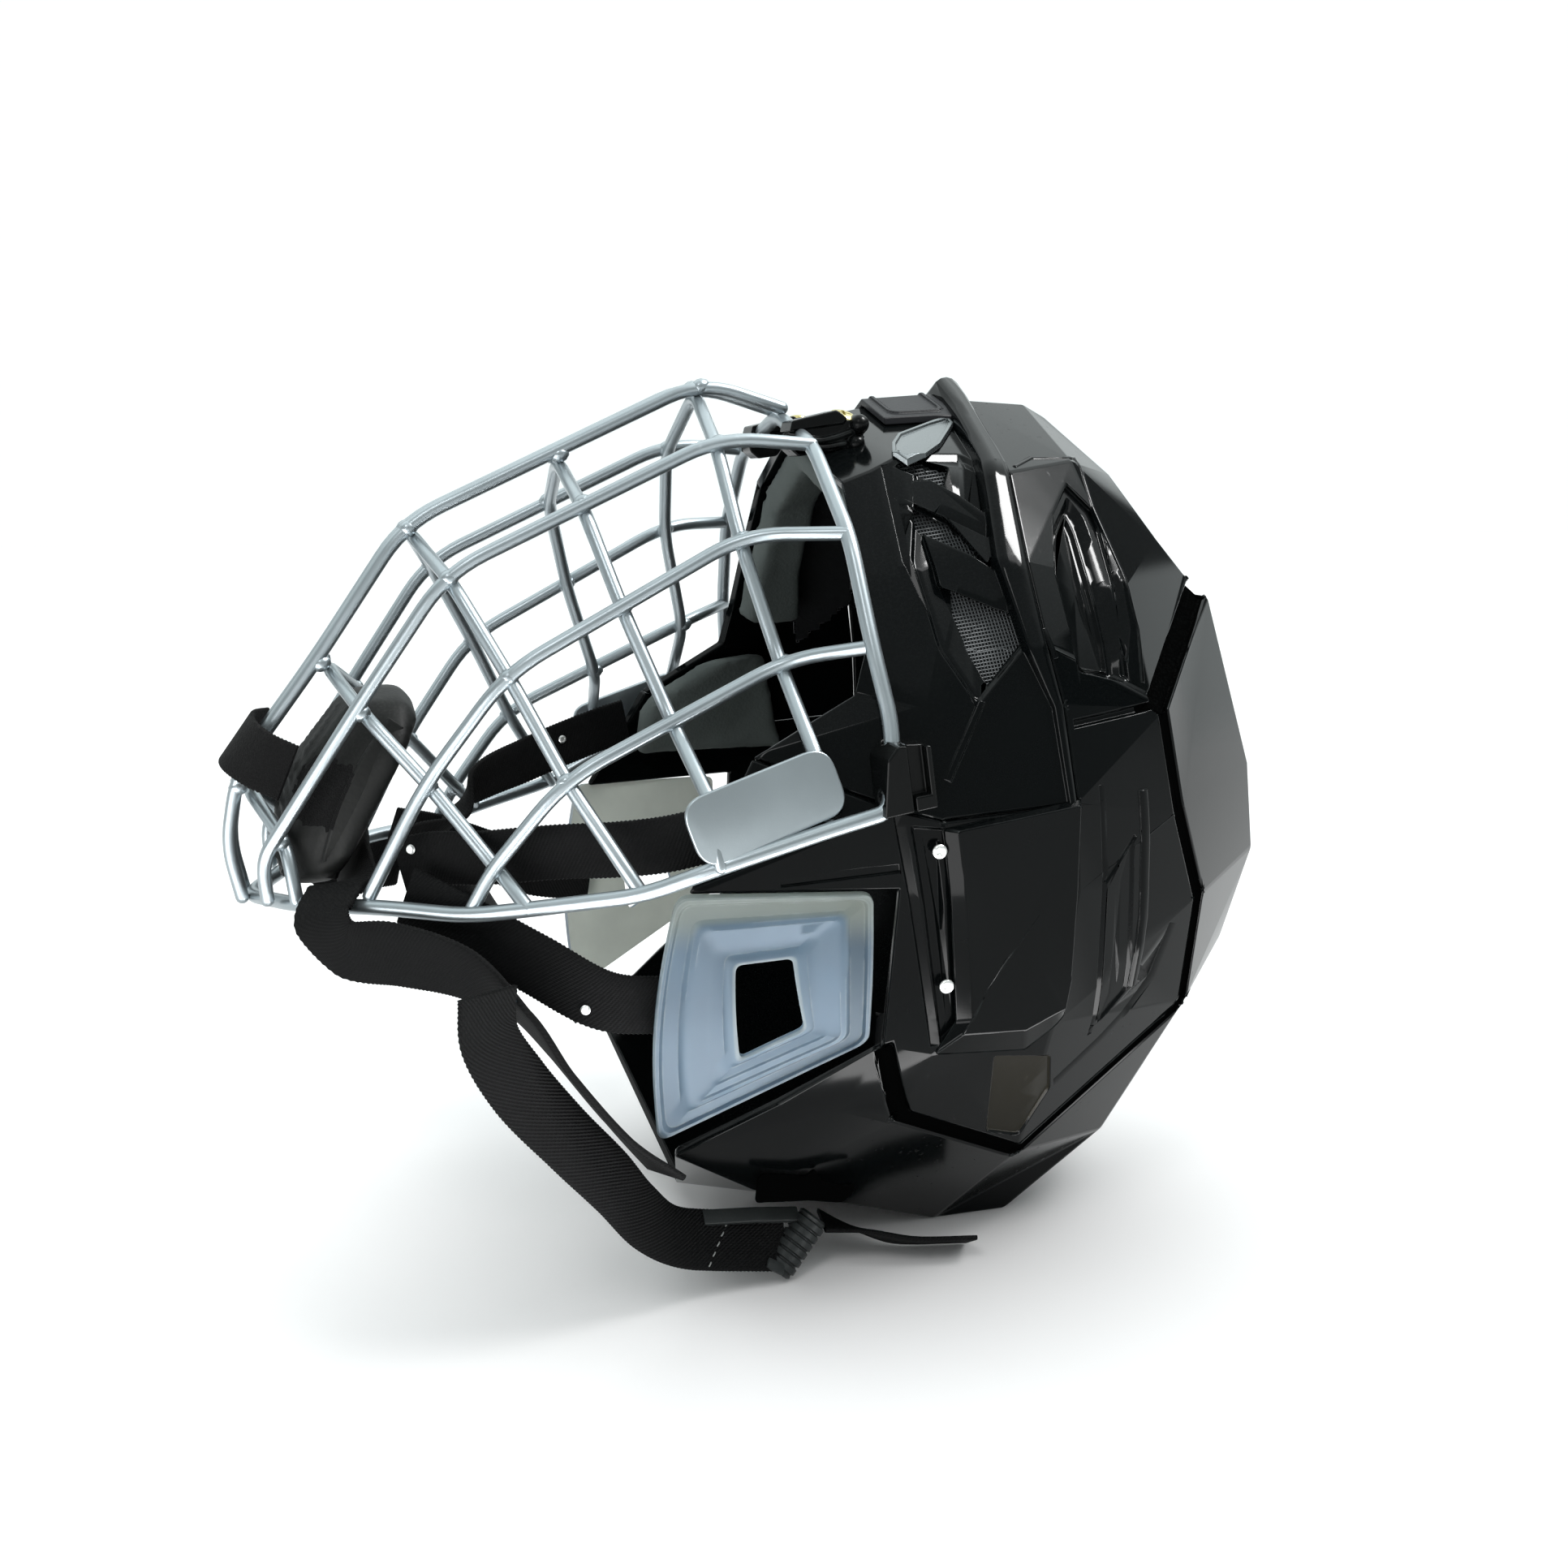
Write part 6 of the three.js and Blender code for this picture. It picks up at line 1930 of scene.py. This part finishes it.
def aimed(obj, place, aim):
    """Places a lamp or a camera so that it looks at a point."""
    obj.location = place
    obj.rotation_euler = (Vector(aim) - Vector(place)).to_track_quat("-Z", "Y").to_euler()


class HELMET_OT_stage(bpy.types.Operator):
    """Pale floor, soft studio light and the camera"""

    bl_idname = "helmet.stage"
    bl_label = "Stage"

    def execute(self, context):
        scene = context.scene
        reach = 6.0
        corners = [(-reach, -reach, 0), (reach, -reach, 0), (reach, reach, 0), (-reach, reach, 0)]
        floor = mesh_object("Floor", corners, [(0, 1, 2, 3)])
        material, tree, shader = new_material("floor_paper")
        shader.inputs["Base Color"].default_value = (0.96, 0.93, 0.93, 1)
        shader.inputs["Roughness"].default_value = 0.9
        floor.data.materials.append(material)
        for name, kind, place, aim, size, power in LIGHTS:
            light = bpy.data.lights.new(name, kind)
            light.energy = power
            if kind == "SUN":
                light.angle = size[0]
            else:
                light.shape, light.size, light.size_y = "RECTANGLE", *size
            lamp = bpy.data.objects.new(name, light)
            scene.collection.objects.link(lamp)
            lamp.visible_camera = False
            lamp.visible_diffuse = "card" not in name  # the cards are only there to be mirrored
            aimed(lamp, place, aim)
        scene.world = studio_world()
        camera = bpy.data.objects.new("Camera", bpy.data.cameras.new("Camera"))
        scene.collection.objects.link(camera)
        camera.data.lens, camera.data.sensor_width = CAMERA["lens"], 36
        camera.data.clip_start = 0.01
        aimed(camera, CAMERA["at"], CAMERA["aim"])
        scene.camera = camera
        scene.view_settings.view_transform = "Standard"  # keeps the white floor white
        return {"FINISHED"}


def studio_world():
    """A white room, dimmer on the near side, with a dark screen high on the right."""
    world = bpy.data.worlds.new("Studio")
    world.use_nodes = True
    tree = world.node_tree
    tree.nodes.clear()
    way = put(tree, "ShaderNodeTexCoord").outputs["Generated"]
    side = put(tree, "ShaderNodeVectorMath", {0: way, 1: NEAR_SIDE}, operation="DOT_PRODUCT").outputs[1]
    right, _, height = put(tree, "ShaderNodeSeparateXYZ", {0: way}).outputs

    def change(value, *limits):
        return ramp(tree, value, *limits, smooth=True)

    room_light = math_node(tree, "MULTIPLY", change(side, -0.05, 0.45, 1.08, 0.45),
                           change(height, 0.5, 0.62, 1.0, 1.8))
    band = math_node(tree, "MULTIPLY", change(height, 0.2, 0.26, 0.0, 1.0),
                     change(height, 0.46, 0.52, 1.0, 0.0))
    screen = math_node(tree, "MULTIPLY", band, change(right, 0.68, 0.75, 0.0, -0.9))
    strength = math_node(tree, "MULTIPLY", math_node(tree, "ADD", screen, 1.0), room_light)
    room = put(tree, "ShaderNodeBackground", {"Color": (0.93, 1, 1, 1), "Strength": strength})
    put(tree, "ShaderNodeOutputWorld", {"Surface": room.outputs[0]})
    return world


class HELMET_PT_build(bpy.types.Panel):
    """Buttons that build the helmet piece by piece"""

    bl_idname = "HELMET_PT_build"
    bl_label = "Hockey helmet"
    bl_space_type = "VIEW_3D"
    bl_region_type = "UI"
    bl_category = "Helmet"

    def draw(self, context):
        for group in (context.scene.helmet_sizes, context.scene.helmet_finish):
            column = self.layout.column()
            for name in group.__annotations__:
                column.prop(group, name)
        for operator in STEPS:
            self.layout.operator(operator.bl_idname)


STEPS = (HELMET_OT_front_shell, HELMET_OT_rear_shell, HELMET_OT_side_panels, HELMET_OT_vents,
         HELMET_OT_badge, HELMET_OT_ear_guards, HELMET_OT_liner, HELMET_OT_cage, HELMET_OT_clips,
         HELMET_OT_chin_cup, HELMET_OT_straps, HELMET_OT_snaps, HELMET_OT_buckle, HELMET_OT_stage)
CLASSES = (HelmetFinish, HelmetSizes, *STEPS, HELMET_PT_build)


def register():
    """Adds the buttons and the properties to Blender."""
    for one in CLASSES:
        bpy.utils.register_class(one)
    bpy.types.Scene.helmet_finish = bpy.props.PointerProperty(type=HelmetFinish)
    bpy.types.Scene.helmet_sizes = bpy.props.PointerProperty(type=HelmetSizes)


def unregister():
    """Takes them away again."""
    del bpy.types.Scene.helmet_finish
    del bpy.types.Scene.helmet_sizes
    for one in reversed(CLASSES):
        bpy.utils.unregister_class(one)


def main():
    """Builds the helmet step by step."""
    register()
    for step in STEPS:
        family, name = step.bl_idname.split(".")
        getattr(getattr(bpy.ops, family), name)()


if __name__ == "__main__":
    main()
